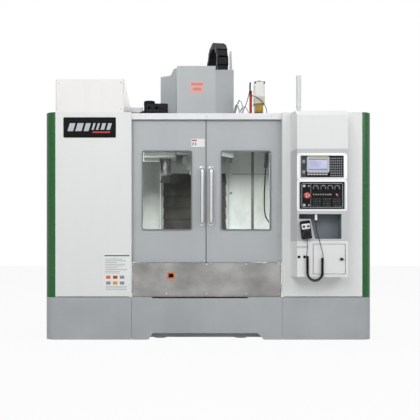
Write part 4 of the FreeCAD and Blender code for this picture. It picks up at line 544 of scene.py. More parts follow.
def coil_line(s):
    """Middle and outward side of the hanging line at a length s along it: straight down, half a
    circle of the bend's radius, and straight up."""
    run = COIL_LEFT[1] - COIL_BOTTOM
    if s < run:
        return np.array([COIL_LEFT[0], COIL_Y, COIL_LEFT[1] - s]), np.array([-1.0, 0, 0])
    if s < run + math.pi * COIL_BEND:
        a = (s - run) / COIL_BEND
        out = np.array([-math.cos(a), 0, -math.sin(a)])
        return np.array([COIL_LEFT[0] + COIL_BEND, COIL_Y, COIL_BOTTOM]) + out * COIL_BEND, out
    up = s - run - math.pi * COIL_BEND
    return np.array([COIL_RIGHT[0], COIL_Y, COIL_BOTTOM + up]), np.array([1.0, 0, 0])


def curl_points():
    """Control points of the curls: a point turns round the line once a pitch.  The control
    polygon of a quadratic spline runs outside its curve by 1 / cos(half a step)."""
    total = COIL_LEFT[1] + COIL_RIGHT[1] - 2 * COIL_BOTTOM + math.pi * COIL_BEND
    reach = COIL_RADIUS * (1 + (math.pi / POINTS_A_TURN) ** 2 / 2)
    start, end = np.array(UPPER_LEAD[-1]), np.array(LOWER_LEAD[-1])
    yield start
    yield start - np.array([0, 0, COIL_WIRE])
    for k in range(TURNS * POINTS_A_TURN + 1):
        share = k / (TURNS * POINTS_A_TURN)
        middle, out = coil_line(share * total)
        a = 2 * math.pi * share * TURNS
        yield middle + reach * (out * math.cos(a) + np.array([0, math.sin(a), 0]))
    yield end - np.array([0, 0, COIL_WIRE])
    yield end


def spline(name, points, radius, made):
    """A round cord of one smooth open spline; its points' radius is half the diameter."""
    data = bpy.data.curves.new(name, "CURVE")
    data.dimensions = "3D"
    data.bevel_depth = 1.0
    data.bevel_resolution = 3
    data.resolution_u = 3 if len(points) > 100 else 10
    data.use_fill_caps = True
    run = data.splines.new("NURBS")
    run.points.add(len(points) - 1)
    for control, point in zip(run.points, points):
        control.co = (*map(float, point), 1.0)
        control.radius = radius
    run.order_u = 3
    run.use_endpoint_u = True
    data.materials.append(made)
    obj = put(name, data)
    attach(obj, "machine")
    return obj


def line_length(obj):
    """Length of a curve's own line, measured on its points with no bevel."""
    depth, obj.data.bevel_depth = obj.data.bevel_depth, 0.0
    line = bpy.data.meshes.new_from_object(obj)
    obj.data.bevel_depth = depth
    p = np.array([v.co for v in line.vertices])
    return float(np.linalg.norm(np.diff(p, axis=0), axis=1).sum())


for name, points, diameter, node, lay in (
        ("pendant_lead_upper", UPPER_LEAD, LEAD_DIAMETER, "cord_lead_upper", "hanging"),
        ("pendant_lead_lower", LOWER_LEAD, LEAD_DIAMETER, "cord_lead_lower", "hanging"),
        ("pendant_curly_cord", list(curl_points()), COIL_WIRE, "cord_coil", "coiled")):
    obj = spline(name, points, diameter / 2, cord_rubber)
    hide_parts(node)
    length = line_length(obj)
    print(name, "length", round(length, 4), "points", len(points))

# %% [markdown]
# ## Printed films
# Labels and key caps are printed or moulded film, so each is a flat ink with little wear.  The
# display and the lit key have a light of their own.

# %%
white_film = ink("white_film", "eceeee")  # printed label film
grey_print = ink("grey_print", "8d9296")  # fine grey printing
silver_print = ink("silver_print", "b9bdc4", 0.3)  # silver printing on black
red_print = ink("red_print", "b8322a")  # red printing
pink_print = ink("pink_print", "e3b0a8")  # pale red printing
rose_print = ink("rose_print", "d8897f")  # darker part of the same print
soft_grey = ink("soft_grey_film", "c4c8c7")  # faint label on white
orange_print = ink("orange_print", "d9702b")  # orange printing
yellow_print = ink("yellow_print", "c9a53a")  # yellow printing
green_print = ink("green_print", "2f7d46")  # green printing
black_plate = ink("black_acrylic", "060607", 0.3, 0.02, 0.06)  # acrylic name field
olive_film = ink("olive_film", "a7a06a")  # strip over the screen
border_film = ink("screen_border_film", "b9bbc0", 0.35)  # film round the screen
row_keys = ink("row_key_film", "8f8f8a", 0.5)  # upper row of keys
pale_keys = ink("pale_key_film", "cdcdc6", 0.5)  # pale keys
mid_keys = ink("mid_key_film", "7e8185", 0.5)  # letter keys
dark_keys = ink("dark_key_film", "33363a", 0.5)  # operation keys
fascia = metal("brushed_fascia", "dcdddd", 0.4, (1, 1, 30), 240.0, 0.05)  # steel round the panels
# painted shade: the inside of the pendant's pocket is coloured dark for the shade in the recess
pocket_painted_shade = plastic("pocket_painted_shade", "7d858b", 0.55)  # inside of the pendant's pocket
amber_plastic = plastic("amber_pump_cover", "b08f3c", 0.4)  # pump cover
screen_glow = lit("lit_screen", "c9cce8", 0.95)  # lit display
screen_band = lit("lit_screen_band", "8f95c4", 0.8)  # darker bands of the display
pink_key = lit("lit_key", "e9929a", 0.7)  # lit key
print("films ready")

# %% [markdown]
# ## Name field, labels and seals
# Flat fields stand 0.3 to 3 mm proud of the sheet that carries them, as glued plates and films
# do.  The name is left out: plain leaning bars hold its place.

# %%
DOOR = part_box("door_left")[0].y
HEAD_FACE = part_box("head_cover")[0].y
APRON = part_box("steel_apron")[0].y
NAME_DEPTH = 0.003
NAME_BARS = ((-1.335, 0.052, 0.075), (-1.262, 0.058, 0.075), (-1.183, 0.046, 0.075), (-1.108, 0.02, 0.062),
             (-1.066, 0.02, 0.062), (-1.024, 0.034, 0.062), (-0.968, 0.034, 0.062))  # X, width, height
NAME_TOP, NAME_LEAN = 2.045, 0.3


def name_bar(name, corners, made):
    """A bar on the name field, with four given corners in X and Z, counter-clockwise."""
    flat_field(name, np.array([(x, FRONT - NAME_DEPTH, z) for x, z in corners]), FILM, made)


plate("name_field", (-1.126, FRONT, 2.005), (0.496, 0.192), NAME_DEPTH, black_plate, 0.008)
for number, (x, width, height) in enumerate(NAME_BARS):
    lean, low = height * NAME_LEAN, NAME_TOP - height
    name_bar(f"name_bar_{number}", ((x, low), (x + width, low), (x + width + lean, NAME_TOP),
                                    (x + lean, NAME_TOP)), silver_print)
name_bar("name_bar_red", ((-1.1, 1.952), (-0.935, 1.952), (-0.93, 1.968), (-1.095, 1.968)), red_print)

plate("side_film", (-0.868, FRONT, 0.64), (0.258, 0.352), FILM, white_film, 0.006)
plate("film_green_line", (-0.868, FRONT - FILM, 0.794), (0.236, 0.012), PRINT, green_print, 0.001)
for number in range(9):
    length = 0.16 + 0.05 * math.sin(number * 2.3)
    plate(f"film_line_{number}", (-0.98 + length / 2, FRONT - FILM, 0.762 - 0.0165 * number),
          (length, 0.0045), THIN, grey_print, 0.001)
for number, made in enumerate((orange_print, red_print, grey_print, grey_print, yellow_print, grey_print)):
    x, z = (-0.95, -0.885, -0.82)[number % 3], (0.59, 0.535)[number // 3]
    plate(f"film_mark_{number}", (x, FRONT - FILM, z), (0.042, 0.03), PRINT, made, 0.002)
for number in range(3):
    plate(f"film_foot_{number}", (-0.875, FRONT - FILM, 0.503 - 0.014 * number), (0.2, 0.004), THIN,
          grey_print, 0.001)

plate("door_label", (-0.0986, DOOR, 1.8716), (0.128, 0.08), FILM, white_film, 0.004, "left_door")
plate("door_label_bar", (-0.134, DOOR - FILM, 1.896), (0.046, 0.013), PRINT, red_print, 0.001, "left_door")
for number, x in enumerate((-0.146, -0.122)):
    plate(f"door_label_mark_{number}", (x, DOOR - FILM, 1.862), (0.013, 0.028), THIN, grey_print, 0.001,
          "left_door")
plate("head_label", (-0.083, HEAD_FACE, 2.546), (0.14, 0.12), FILM, pink_print, 0.004, "spindle_head")
for name, z, size in (("bar", 2.575, (0.12, 0.026)), ("field", 2.525, (0.09, 0.03))):
    plate(f"head_label_{name}", (-0.083, HEAD_FACE - FILM, z), size, PRINT, rose_print, 0.002, "spindle_head")
plate("apron_mark", (-0.357, APRON, 0.604), (0.07, 0.062), FILM, orange_print, 0.004)
plate("apron_mark_field", (-0.357, APRON - FILM, 0.604), (0.045, 0.036), THIN, black_plate, 0.003)
# painted shadow: a black line along the plinth's top edge stands for the shadow in the gap under the sheets
# above
plate("plinth_shadow_line", (-0.084, FRONT, 0.397), (0.906, 0.011), 0.0015, black_plate, 0.002)

for side in ("left", "right"):
    low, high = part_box(f"window_{side}")
    ring_plate(f"window_seal_{side}", ((low.x + high.x) / 2, DOOR - 0.004, (low.z + high.z) / 2),
               (0.481, 0.761), 0.009, 0.003, gasket_grey, 0.022, f"{side}_door")
plate("door_seal_0", (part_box("door_left")[1].x - 0.0028, DOOR, 1.42), (0.0055, 1.38), 0.0025, gasket_grey,
      0.002, "left_door")
for side, x in (("left", -0.7315), ("right", 0.6955)):
    plate(f"plinth_seam_{side}", (x, FRONT + 0.008, 0.205), (0.0028, 0.385), 0.002, seal_rubber, 0.0005)
print("fields and seals done")

# %% [markdown]
# ## Console: display and key panel
# The display unit and the key panel are one moulded node each, so the colours of their keys are
# painted on the faces that lie in a box.  What stands off them, such as the screen, the frames,
# the dials and the knobs, is added as pieces.

# %%


def paint_faces(node, made, low, high):
    """A second material on the faces of a node whose middles lie in a box."""
    data = nodes[node].data
    count = len(data.polygons)
    middles, which = np.empty(count * 3), np.empty(count, int)
    data.polygons.foreach_get("center", middles)
    data.polygons.foreach_get("material_index", which)
    middles = middles.reshape(-1, 3)
    inside = ((middles > np.array(low)) & (middles < np.array(high))).all(1)
    which[inside] = len(data.materials)
    data.materials.append(made)
    data.polygons.foreach_set("material_index", which)
    return int(inside.sum())


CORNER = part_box("display_unit")[0]
FACE = CORNER.y + 0.003                      # the unit's face; its keys stand further out
LEFT, LOW = CORNER.x, CORNER.z
CENTRE = LEFT + 0.202                        # middle of the display and of the panel below
MIDDLE = LOW + 0.1055
for made, left, right, low, high in ((pale_keys, 0.06, 0.26, 0.02, 0.045), (mid_keys, 0.27, 0.4, 0.0, 0.2)):
    count = paint_faces("display_unit", made, (LEFT + left, -9, LOW + low),
                        (LEFT + right, FACE - 0.0005, LOW + high))
    print("faces of", made.name, count)

SCREEN = (LEFT + 0.164, FACE + 0.004, LOW + 0.124)
SCREEN_TOP = SCREEN[1] - 0.0012
plate("screen", SCREEN, (0.172, 0.116), 0.0012, screen_glow, 0.003)
for number, (rise, height) in enumerate(((0.047, 0.012), (-0.046, 0.014))):
    plate(f"screen_band_{number}", (SCREEN[0], SCREEN_TOP, SCREEN[2] + rise), (0.168, height), THIN,
          screen_band, 0.001)
for number in range(6):
    length = 0.06 + 0.05 * abs(math.sin(number * 1.7))
    middle = SCREEN[0] - 0.078 + length / 2
    plate(f"screen_row_{number}", (middle, SCREEN_TOP, SCREEN[2] + 0.031 - 0.011 * number),
          (length, 0.0035), THIN, screen_band, 0.001)
ring_plate("screen_border", (SCREEN[0], FACE, SCREEN[2]), (0.208, 0.152), 0.018, 0.0005, border_film)
plate("olive_strip", (SCREEN[0], FACE, SCREEN[2] + 0.072), (0.178, 0.014), FILM, olive_film, 0.002)
ring_plate("display_frame", (CENTRE, FACE, MIDDLE), (0.402, 0.209), 0.005, 0.002, pale_metal)
plate("display_left_strip", (LEFT + 0.032, FACE, MIDDLE), (0.044, 0.19), FILM, dark_keys, 0.003)
for number, rise in enumerate((0.045, -0.05)):
    plate(f"display_slot_{number}", (LEFT + 0.032, FACE - FILM, MIDDLE + rise), (0.024, 0.03), 0.0015,
          grey_print, 0.003)
for name, z, height, width, radius in (("display", 1.6115, 0.247, 0.0275, 0.03),
                                       ("panel", 1.346, 0.284, 0.0175, 0.02)):
    ring_plate(f"{name}_fascia", (CENTRE, FACE + 0.008, z), (0.46, height), width, 0.0025, fascia, radius)

# %%
PANEL = FACE + 0.0015                        # the panel's face
LEFT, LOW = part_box("machine_panel")[0].x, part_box("machine_panel")[0].z
KEY_TOP = PANEL - 0.0045                     # the keys' faces
DIALS = (0.144, 0.212, 0.276, 0.34)          # X of the four dials
DIAL_Z = LOW + 0.194
SWEEP = 125                                  # degrees from the top to a dial's last mark
ring_plate("panel_outline", (LEFT + 0.202, PANEL, LOW + 0.124), (0.378, 0.222), 0.0034, PRINT, silver_print,
           0.012)
for made, left, right, low, high, proud in (
        (dark_keys, 0.11, 0.4, 0.015, 0.108, 0.001), (row_keys, 0.11, 0.29, 0.12, 0.145, 0.001),
        (silver_print, 0.0955, 0.0985, 0.008, 0.24, 0.0005), (pale_keys, 0.02, 0.094, 0.02, 0.225, 0.001)):
    paint_faces("machine_panel", made, (LEFT + left, -9, LOW + low),
                (LEFT + right, PANEL - proud, LOW + high))
for name, right, rise, size, made in (("pink", 0.2765, 0.1325, (0.02, 0.012), pink_key),
                                      ("red", 0.344, 0.124, (0.011, 0.02), red_print),
                                      ("white", 0.333, 0.133, (0.009, 0.011), white_film)):
    plate(f"key_{name}", (LEFT + right, PANEL, LOW + rise), size, 0.003, made, 0.0015)
for group in range(3):
    for number in range(4):
        right, up = 0.1225 + 0.092 * group + 0.019 * number, 0.0285 + 0.021 * ((group + 2 * number) % 4)
        plate(f"key_mark_{group}_{number}", (LEFT + right, KEY_TOP, LOW + up), (0.007, 0.005), PRINT,
              row_keys, 0.001)

for number, x in enumerate(DIALS):
    centre = (LEFT + x, PANEL, DIAL_Z)
    arc_field(f"dial_arc_{number}", centre, 0.0205, 0.0235, -SWEEP, SWEEP, silver_print)
    for tick in range(11):
        angle = -SWEEP + tick * 25
        arc_field(f"dial_tick_{number}_{tick}", centre, 0.0235, 0.0285, angle - 1.5, angle + 1.5,
                  silver_print, count=2)
turned("fourth_knob", (LEFT + DIALS[2], PANEL, DIAL_Z),
       ((0.015, 0.0), (0.0145, 0.006), (0.012, 0.0075), (0.0115, 0.018), (TIP, 0.018)), case_plastic)
turned("fixed_knob_cap", (LEFT + DIALS[3], PANEL - 0.0155, DIAL_Z),
       ((0.015, 0.0), (0.0135, 0.008), (0.0115, 0.0095), (TIP, 0.0095)), case_plastic)
plate("fixed_knob_line", (LEFT + DIALS[3], PANEL - 0.025, LOW + 0.2005), (0.0014, 0.009), THIN, white_film,
      0.0005)
for name in ("spindle", "feed"):
    low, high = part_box(f"{name}_override_knob")
    plate(f"{name}_override_knob_line", ((low.x + high.x) / 2, low.y, (low.z + high.z) / 2 + 0.004),
          (0.0014, 0.012), THIN, white_film, 0.0005, f"{name}_knob")
for number, rise in enumerate((0.21, 0.034)):
    turned(f"round_button_ring_{number}", (LEFT + 0.036, PANEL, LOW + rise),
           ((0.0125, 0.0), (0.0125, 0.004), (0.011, 0.0055), (0.0095, 0.0055), (0.0095, 0.0)), pale_metal)
low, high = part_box("emergency_stop")
stop = ((low.x + high.x) / 2, PANEL, (low.z + high.z) / 2)
turned("stop_field", stop, ((0.034, 0.0), (0.034, FILM), (TIP, FILM)), dark_keys, sides=48)
turned("stop_collar", stop,
       ((0.023, FILM), (0.023, 0.0018), (0.0215, 0.0026), (0.0105, 0.0026), (0.0105, FILM)), case_plastic)
for number in range(3):
    angle = 90 + number * 120
    arc_field(f"stop_arrow_{number}", (stop[0], low.y, stop[2]), 0.013, 0.017, angle - 28, angle + 28,
              white_film, "stop_button")
print("dials", len(DIALS), "stop at", [round(v, 3) for v in stop])

# %% [markdown]
# ## Console: pendant, ports and storage door
# The pendant leans in its pocket, so what is on its face is drawn with a turned right and up.
# Its own wheel is a node; the selectors and the dial round the wheel are pieces.

# %%
LEAN = math.radians(7)
PENDANT = (0.873, FACE - 0.036, 1.03)        # middle of the pendant's face
SELECTOR_UP = 0.03
PORTS = -1.225                               # the face that the ports are set in


def pendant_facing(u, v, w):
    """Local right, up and out on the pendant's face, which leans 7 degrees to the left."""
    c, s = math.cos(LEAN), math.sin(LEAN)
    return np.stack([u * c - v * s, -w, u * s + v * c], -1)


def pendant_place(right, up, out=0.0):
    """A point on the pendant's face."""
    return pendant_facing(right, up, out) + PENDANT


# painted shade: the faces inside the pendant's pocket get the dark colour of the recess's shade
paint_faces("console_bezel", pocket_painted_shade, (0.8, -1.2245, 0.94), (1.21, -1.05, 1.18))
plate("pendant_field", pendant_place(0, SELECTOR_UP), (0.076, 0.05), 0.0006, white_film, 0.006,
      turn=pendant_facing)
for number, side in enumerate((-0.02, 0.02)):
    turned(f"pendant_selector_{number}", pendant_place(side, SELECTOR_UP, 0.013),
           ((0.009, 0.0), (0.0095, 0.002), (0.008, 0.004), (TIP, 0.004)), case_plastic)
    for tick in range(7):
        angle = math.radians(-90 + 30 * tick)
        mark = pendant_place(side + 0.0135 * math.sin(angle), SELECTOR_UP + 0.0135 * math.cos(angle), 0.0006)
        plate(f"pendant_tick_{number}_{tick}", mark, (0.0014, 0.0028), 0.0002, black_plate, 0.0004,
              edge=0.0001, turn=pendant_facing)
turned("pendant_dial", pendant_place(0, -0.038), ((0.0385, 0.0), (0.0385, PRINT), (TIP, PRINT)), dark_keys,
       sides=48)

low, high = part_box("cord_socket")
paint_faces("cord_socket", cord_rubber, low - Vector((1, 1, 1)), (high.x + 1, high.y + 1, low.z + 0.0165))
for number, x in enumerate((0.8156, 0.866)):
    turned(f"port_{number}", (x, PORTS, 0.782),
           ((0.013, 0.0), (0.013, 0.003), (0.0125, 0.0045), (0.0105, 0.0045), (0.0095, 0.001), (TIP, 0.001)),
           case_plastic)
plate("port_label", (0.842, PORTS, 0.873), (0.1, 0.02), 0.0006, soft_grey, 0.002)
low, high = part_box("storage_door")
latch = paint_faces("storage_door", case_plastic, (1.16, -9, 0.74), (1.235, low.y + 0.0185, 0.785))
ring_plate("storage_seam", ((low.x + high.x) / 2, PORTS - 0.0002, (low.z + high.z) / 2),
           (high.x - low.x + 0.012, high.z - low.z + 0.008), 0.003, PRINT, seal_rubber, 0.004)
print("faces of the storage door's latch", latch)

# %% [markdown]
# ## Way covers and cable carrier
# The two way covers and the cable carrier are drawn again with their real plates and links.
# Each is a fixed mesh that rides on no body.

# %%
FOLD_CORNER = 0.012          # radius of a cover plate's corners
FOLD_POINTS = 6


def fold_ring(a0, a1, b0, b1, inset):
    """Three outer sides of a plate, its two corners round, drawn in by the plate's step."""
    a0, a1, b0 = a0 + inset, a1 - inset, b0 + inset
    turn = np.linspace(0, math.pi / 2, FOLD_POINTS)
    r = FOLD_CORNER
    left = [(a0 + r - r * math.cos(t), b0 + r - r * math.sin(t)) for t in turn]
    right = [(a1 - r + r * math.sin(t), b0 + r - r * math.cos(t)) for t in turn]
    return np.array([(a0, b1), *left, *right, (a1, b1)])


def plate_insets(count, step):
    """Depth of each edge of sliding plates: each leans in to its far end, then steps out again."""
    steps = [(0.0, 0.001)]
    for k in range(count):
        steps += [((k + 0.004) / count, 0.0), ((k + 0.03) / count, 0.0), ((k + 0.996) / count, step)]
    return [*steps, (1.0, step)]


def way_cover(name, rings, node):
    """A sliding cover: a skin through equal rings along the slide's way, in place of its node, which is
    hidden.
    """
    obj = shape(name, *loops_to_mesh(rings), shaded_way_cover, None, False)
    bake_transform(obj)
    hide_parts(node)


low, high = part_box("z_way_cover")
middle = (low + high) / 2
rings = []
for share, inset in plate_insets(5, 0.011):
    flat = fold_ring(low.x, high.x, low.y, high.y, inset)
    rings.append(np.column_stack([flat, np.full(len(flat), low.z + share * (high.z - low.z))]))
way_cover("upright_cover", rings,
          "z_way_cover")

low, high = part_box("y_way_cover")
middle = (low + high) / 2
rings = []
for share, inset in plate_insets(4, 0.012):
    flat = fold_ring(low.x, high.x, -high.z, -low.z, inset)[::-1]
    out = np.full(len(flat), low.y + share * (high.y - low.y))
    rings.append(np.column_stack([flat[:, 0], out, -flat[:, 1]]))
way_cover("front_cover", rings,
          "y_way_cover")
print("way covers drawn")

# %%
CHAIN_FRONT = np.array([0.216, -0.04])
CHAIN_REAR = np.array([0.14, 0.48])
CHAIN_FOOT, CHAIN_STAND, CHAIN_RISE = 2.33, 2.5, 2.915
CHAIN_PITCH, CHAIN_HALF, CHAIN_THICK = 0.088, 0.0625, 0.062
CHAIN_BEND = np.linalg.norm(CHAIN_REAR - CHAIN_FRONT) / 2
CHAIN_LEG = CHAIN_RISE - CHAIN_FOOT
CHAIN_LENGTH = CHAIN_LEG + math.pi * CHAIN_BEND + CHAIN_RISE - CHAIN_STAND
CHAIN_WALL = 0.004           # a link's side plate


def chain_point(s):
    """Middle of the carrier at a length s from its front foot, and its way ahead and outward
    side: up the front leg, half a circle over, and down to the column."""
    flat = np.array([*((CHAIN_REAR - CHAIN_FRONT) / (2 * CHAIN_BEND)), 0.0])
    up = np.array([0.0, 0.0, 1.0])
    if s < CHAIN_LEG:
        return np.array([*CHAIN_FRONT, CHAIN_FOOT + s]), up, -flat
    if s < CHAIN_LEG + math.pi * CHAIN_BEND:
        a = (s - CHAIN_LEG) / CHAIN_BEND
        out = -flat * math.cos(a) + up * math.sin(a)
        middle = np.array([*((CHAIN_FRONT + CHAIN_REAR) / 2), CHAIN_RISE])
        return middle + out * CHAIN_BEND, flat * math.sin(a) + up * math.cos(a), out
    down = s - CHAIN_LEG - math.pi * CHAIN_BEND
    return np.array([*CHAIN_REAR, CHAIN_RISE - down]), -up, flat


def add_block(points, faces, centre, ahead, out, side, half, cut=0.0015):
    """Adds a box with chamfered long edges to lists of points and faces."""
    base = len(points)
    a, b = half[1], half[2]
    ring = [(a - cut, b), (-a + cut, b), (-a, b - cut), (-a, -b + cut), (-a + cut, -b), (a - cut, -b),
            (a, -b + cut), (a, b - cut)]
    for end in (-1, 1):
        points += [centre + ahead * (end * half[0]) + out * u + side * v for u, v in ring]
    faces += [(base + k, base + (k + 1) % 8, base + 8 + (k + 1) % 8, base + 8 + k) for k in range(8)]
    faces += [[base + 7 - k for k in range(8)], [base + 8 + k for k in range(8)]]


def over_the_arch(obj):
    """Bakes a piece's place into its mesh."""
    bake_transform(obj)


def carrier(count):
    """Links of two side plates and two lids each, every second one set inside its
    neighbours, with a pin's head on each joint."""
    points, faces = [], []
    start = (CHAIN_LENGTH - count * CHAIN_PITCH) / 2
    for number in range(count):
        centre, ahead, out = chain_point(start + (number + 0.5) * CHAIN_PITCH)
        side = np.cross(ahead, out)
        inner = CHAIN_WALL if number % 2 else 0.0
        for way in (-1, 1):
            wall = centre + side * way * (CHAIN_HALF - CHAIN_WALL - inner)
            add_block(points, faces, wall, ahead, out, side, (0.049, CHAIN_THICK / 2, 0.0035))
            add_block(points, faces, wall + side * way * CHAIN_WALL + ahead * 0.037, ahead, out, side,
                      (0.006, 0.006, 0.001 if inner else 0.0005), 0.0004)
            lid = centre + out * way * (CHAIN_THICK / 2 - 0.003)
            add_block(points, faces, lid, ahead, out, side, (0.0395, 0.003, CHAIN_HALF - 0.008 - inner))
    obj = shape("cable_carrier", points, faces, chain_plastic, None, False)
    over_the_arch(obj)
    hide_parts("energy_chain")


LINKS = int(CHAIN_LENGTH / CHAIN_PITCH)
carrier(LINKS)
for number, (aside, out, radius, made) in enumerate((
        (-0.032, 0.006, 0.009, cord_rubber), (-0.008, -0.008, 0.0075, motor_paint),
        (0.014, 0.006, 0.0085, cord_rubber), (0.036, -0.004, 0.007, motor_paint))):
    line = []
    for s in np.linspace(0.005, CHAIN_LENGTH - 0.005, 60):
        centre, ahead, away = chain_point(s)
        line.append(centre + np.cross(ahead, away) * aside + away * out)
    over_the_arch(tube(f"carried_cable_{number}", line, radius, made, None, 10))
print("carrier links", LINKS, "length", round(float(CHAIN_LENGTH), 3))

# %% [markdown]
# ## Roof: oil unit, changer motor, hoses and cables
# The hoses and cables are fixed at both ends, so each is a round section carried along a smooth
# curve through a few chosen points.  On the roof their heights are counted from its sheet.

# %%
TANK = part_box("lubricator")[0]
ROOF = TANK.z
paint_faces("lubricator", red_print, (TANK.x - 1, -9, ROOF + 0.012), (TANK.x + 0.0365, 9, ROOF + 0.4))
for number in range(8):
    plate(f"tank_mark_{number}", (0.585, TANK.y, ROOF + 0.215 + 0.022 * number),
          (0.012 if number % 2 else 0.018, 0.002), PRINT, grey_print, 0.0005, edge=0.0001)
plate("tank_field", (0.535, TANK.y, ROOF + 0.24), (0.056, 0.05), 0.0006, pale_keys, 0.003)
for side, x in ((498, 0.4985), (590, 0.5905)):
    plate(f"tank_corner_{side}", (x, TANK.y + 0.002, ROOF + 0.398), (0.013, 0.024), 0.004, case_plastic,
          0.003)
plate("pump_cover", (0.551, TANK.y + 0.015, ROOF + 0.145), (0.062, 0.062), 0.008, amber_plastic, 0.008)
plate("pump_foot", (0.524, TANK.y + 0.008, ROOF + 0.012), (0.156, 0.02), 0.004, case_plastic, 0.003)
hose("gauge_rod", [(0.452, -0.575, 0.3), (0.452, -0.575, 0.36), (0.455, -0.57, 0.41)], 6, 0.008,
     case_plastic, ROOF)
hose("gauge_hose", [(0.455, -0.572, 0.36), (0.436, -0.575, 0.27), (0.405, -0.58, 0.17), (0.365, -0.58, 0.09),
                    (0.33, -0.56, 0.02)], 8, 0.004, cord_rubber, ROOF)
hose("tank_hose", [(0.455, -0.575, 0.28), (0.5, -0.625, 0.25), (0.56, -0.63, 0.21), (0.612, -0.6, 0.14),
                   (0.63, -0.57, 0.02)], 8, 0.0035, cord_rubber, ROOF)
hose("oil_line", [(0.5, -0.58, 0.04), (0.455, -0.585, 0.035), (0.41, -0.53, 0.03), (0.4, -0.4, 0.012),
                  (0.405, -0.1, 0.012), (0.39, 0.2, 0.012), (0.345, 0.42, 0.02)], 10, 0.006, cord_rubber,
     ROOF)
hose("pump_cable", [(0.582, -0.55, 0.07), (0.63, -0.54, 0.05), (0.66, -0.42, 0.02), (0.66, -0.2, 0.008),
                    (0.64, 0.2, 0.008)], 10, 0.005, motor_paint, ROOF)
for number, (reach, rise, start) in enumerate(((0.09, 0.44, 0.30), (0.14, 0.36, 0.27), (0.06, 0.40, 0.34))):
    foot = (0.37 + reach * 1.3, start - 0.08)
    hose(f"roof_conduit_{number}",
         [(0.345 + 0.02 * number, 0.42, 0.05), (0.36 + reach * 0.6, start + 0.06, rise * 0.8),
          (0.36 + reach, start, rise), (0.37 + reach * 1.25, start - 0.06, rise * 0.7), (*foot, 0.004)],
         12, 0.008, pale_metal, ROOF)
    turned(f"conduit_gland_{number}", (*foot, ROOF),
           ((0.014, 0.0), (0.014, 0.012), (0.011, 0.02), (TIP, 0.02)), case_plastic, axis="Z", sides=20)

MOTOR_X, MOTOR_Y = -0.583, -0.22
for number in range(10):
    turned(f"motor_fin_{number}", (MOTOR_X, MOTOR_Y, ROOF + 0.0145 * number),
           ((0.058, 0.0), (0.0625, 0.0015), (0.0625, 0.0045), (0.058, 0.006)), motor_paint, axis="Z",
           sides=40)
turned("motor_fan_cover", (MOTOR_X, MOTOR_Y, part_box("changer_motor")[1].z - 0.03),
       ((0.0605, 0.0), (0.0605, 0.018), (0.058, 0.0255), (0.05, 0.0295), (TIP, 0.0298)), motor_paint,
       axis="Z", sides=40)
BOX_FRONT, BOX_Z = MOTOR_Y - 0.08, 2.363     # the motor's junction box
for number, x in enumerate((-0.585, -0.505)):
    turned(f"junction_disc_{number}", (x, BOX_FRONT, BOX_Z),
           ((0.0165, 0.0), (0.0165, 0.002), (0.015, 0.003), (TIP, 0.003)), white_film)
plate("junction_lid", (-0.5435, BOX_FRONT, BOX_Z), (0.15, 0.088), 0.003, motor_paint, 0.006)
hose("motor_hose", [(-0.615, -0.24, 2.345), (-0.66, -0.24, 2.33), (-0.71, -0.235, 2.3), (-0.76, -0.23, 2.315),
                    (-0.81, -0.22, 2.335)], 10, 0.012, cord_rubber)
hose("motor_hose_low", [(-0.615, -0.2, 2.335), (-0.65, -0.17, 2.27), (-0.7, -0.12, 2.22), (-0.76, -0.1, 2.23),
                        (-0.81, -0.1, 2.25)], 10, 0.009, cord_rubber)
plate("cable_tray", (-0.72, -0.17, 2.36), (0.14, 0.055), 0.05, rail_paint, 0.004)
print("roof at", round(ROOF, 3))

# %% [markdown]
# ## Inside: work lamps, wash gun and its hose, wall seams
# The room behind the panes is lit by its own two strip lamps, whose narrow spread keeps their
# light off the door sheets.

# %%
lamp_lens = lit("work_lamp_lens", "f4f8f2", 3.0, "d8d8d4")  # diffuser of the work lamps
LAMP_Y, LAMP_Z = -0.86, 2.06
LAMP_TILT = math.radians(22)
WALL = 0.425                 # front of the rear wall
GUN_Y = -0.87                # the wash gun hangs close behind the right door


def downward(u, v, w):
    """Local right, up and out on a face that looks down."""
    return np.stack([u, v, -w], -1)


def work_lamp(name, x, length, power, spread):
    """A sealed strip lamp under the rail with its own light."""
    plate(f"{name}_body", (x, LAMP_Y + 0.03, LAMP_Z), (length, 0.05), 0.05, pale_metal, 0.01)
    plate(f"{name}_lens", (x, LAMP_Y + 0.005, LAMP_Z - 0.0265), (length - 0.03, 0.036), 0.002, lamp_lens,
          0.008, turn=downward)
    data = bpy.data.lights.new(f"{name}_light", "AREA")
    data.shape, data.size, data.size_y, data.energy = "RECTANGLE", length, 0.08, power
    data.color = (0.97, 1.0, 0.99)
    data.spread = math.radians(spread)
    obj = put(f"{name}_light", data)
    obj.location = (x, LAMP_Y + 0.02, LAMP_Z - 0.04)
    obj.rotation_euler = (LAMP_TILT, 0, 0)


work_lamp("work_lamp_left", -0.54, 0.3, 18.0, 98)
work_lamp("work_lamp_right", 0.5, 0.34, 30.0, 112)
for number, z in enumerate((1.895, 1.53)):
    turned(f"wall_bolt_{number}", (0.36, WALL, z),
           ((0.014, 0.0), (0.014, 0.006), (0.011, 0.009), (TIP, 0.009)), steel_dark)
plate("wall_seam", (0.62, WALL, 1.753), (0.5, 0.006), 0.0015, seal_rubber, 0.001)
plate("wall_fold", (0.612, WALL, 1.5), (0.032, 1.15), 0.012, steel_dark, 0.003)
hose("wash_gun_grip", [(0.569, GUN_Y, 1.84), (0.572, GUN_Y, 1.79), (0.571, -0.871, 1.72),
                       (0.566, -0.873, 1.65)], 6, 0.017, case_plastic, sides=16)
hose("wash_gun_nozzle", [(0.569, GUN_Y, 1.835), (0.556, -0.872, 1.862), (0.53, -0.874, 1.87)], 6, 0.011,
     case_plastic, sides=14)
hose("wash_gun_hook", [(0.569, -0.852, 1.8), (0.569, -0.84, 1.86), (0.569, -0.85, 1.98),
                       (0.569, GUN_Y, 2.085)], 6, 0.003, steel_dark, sides=8)
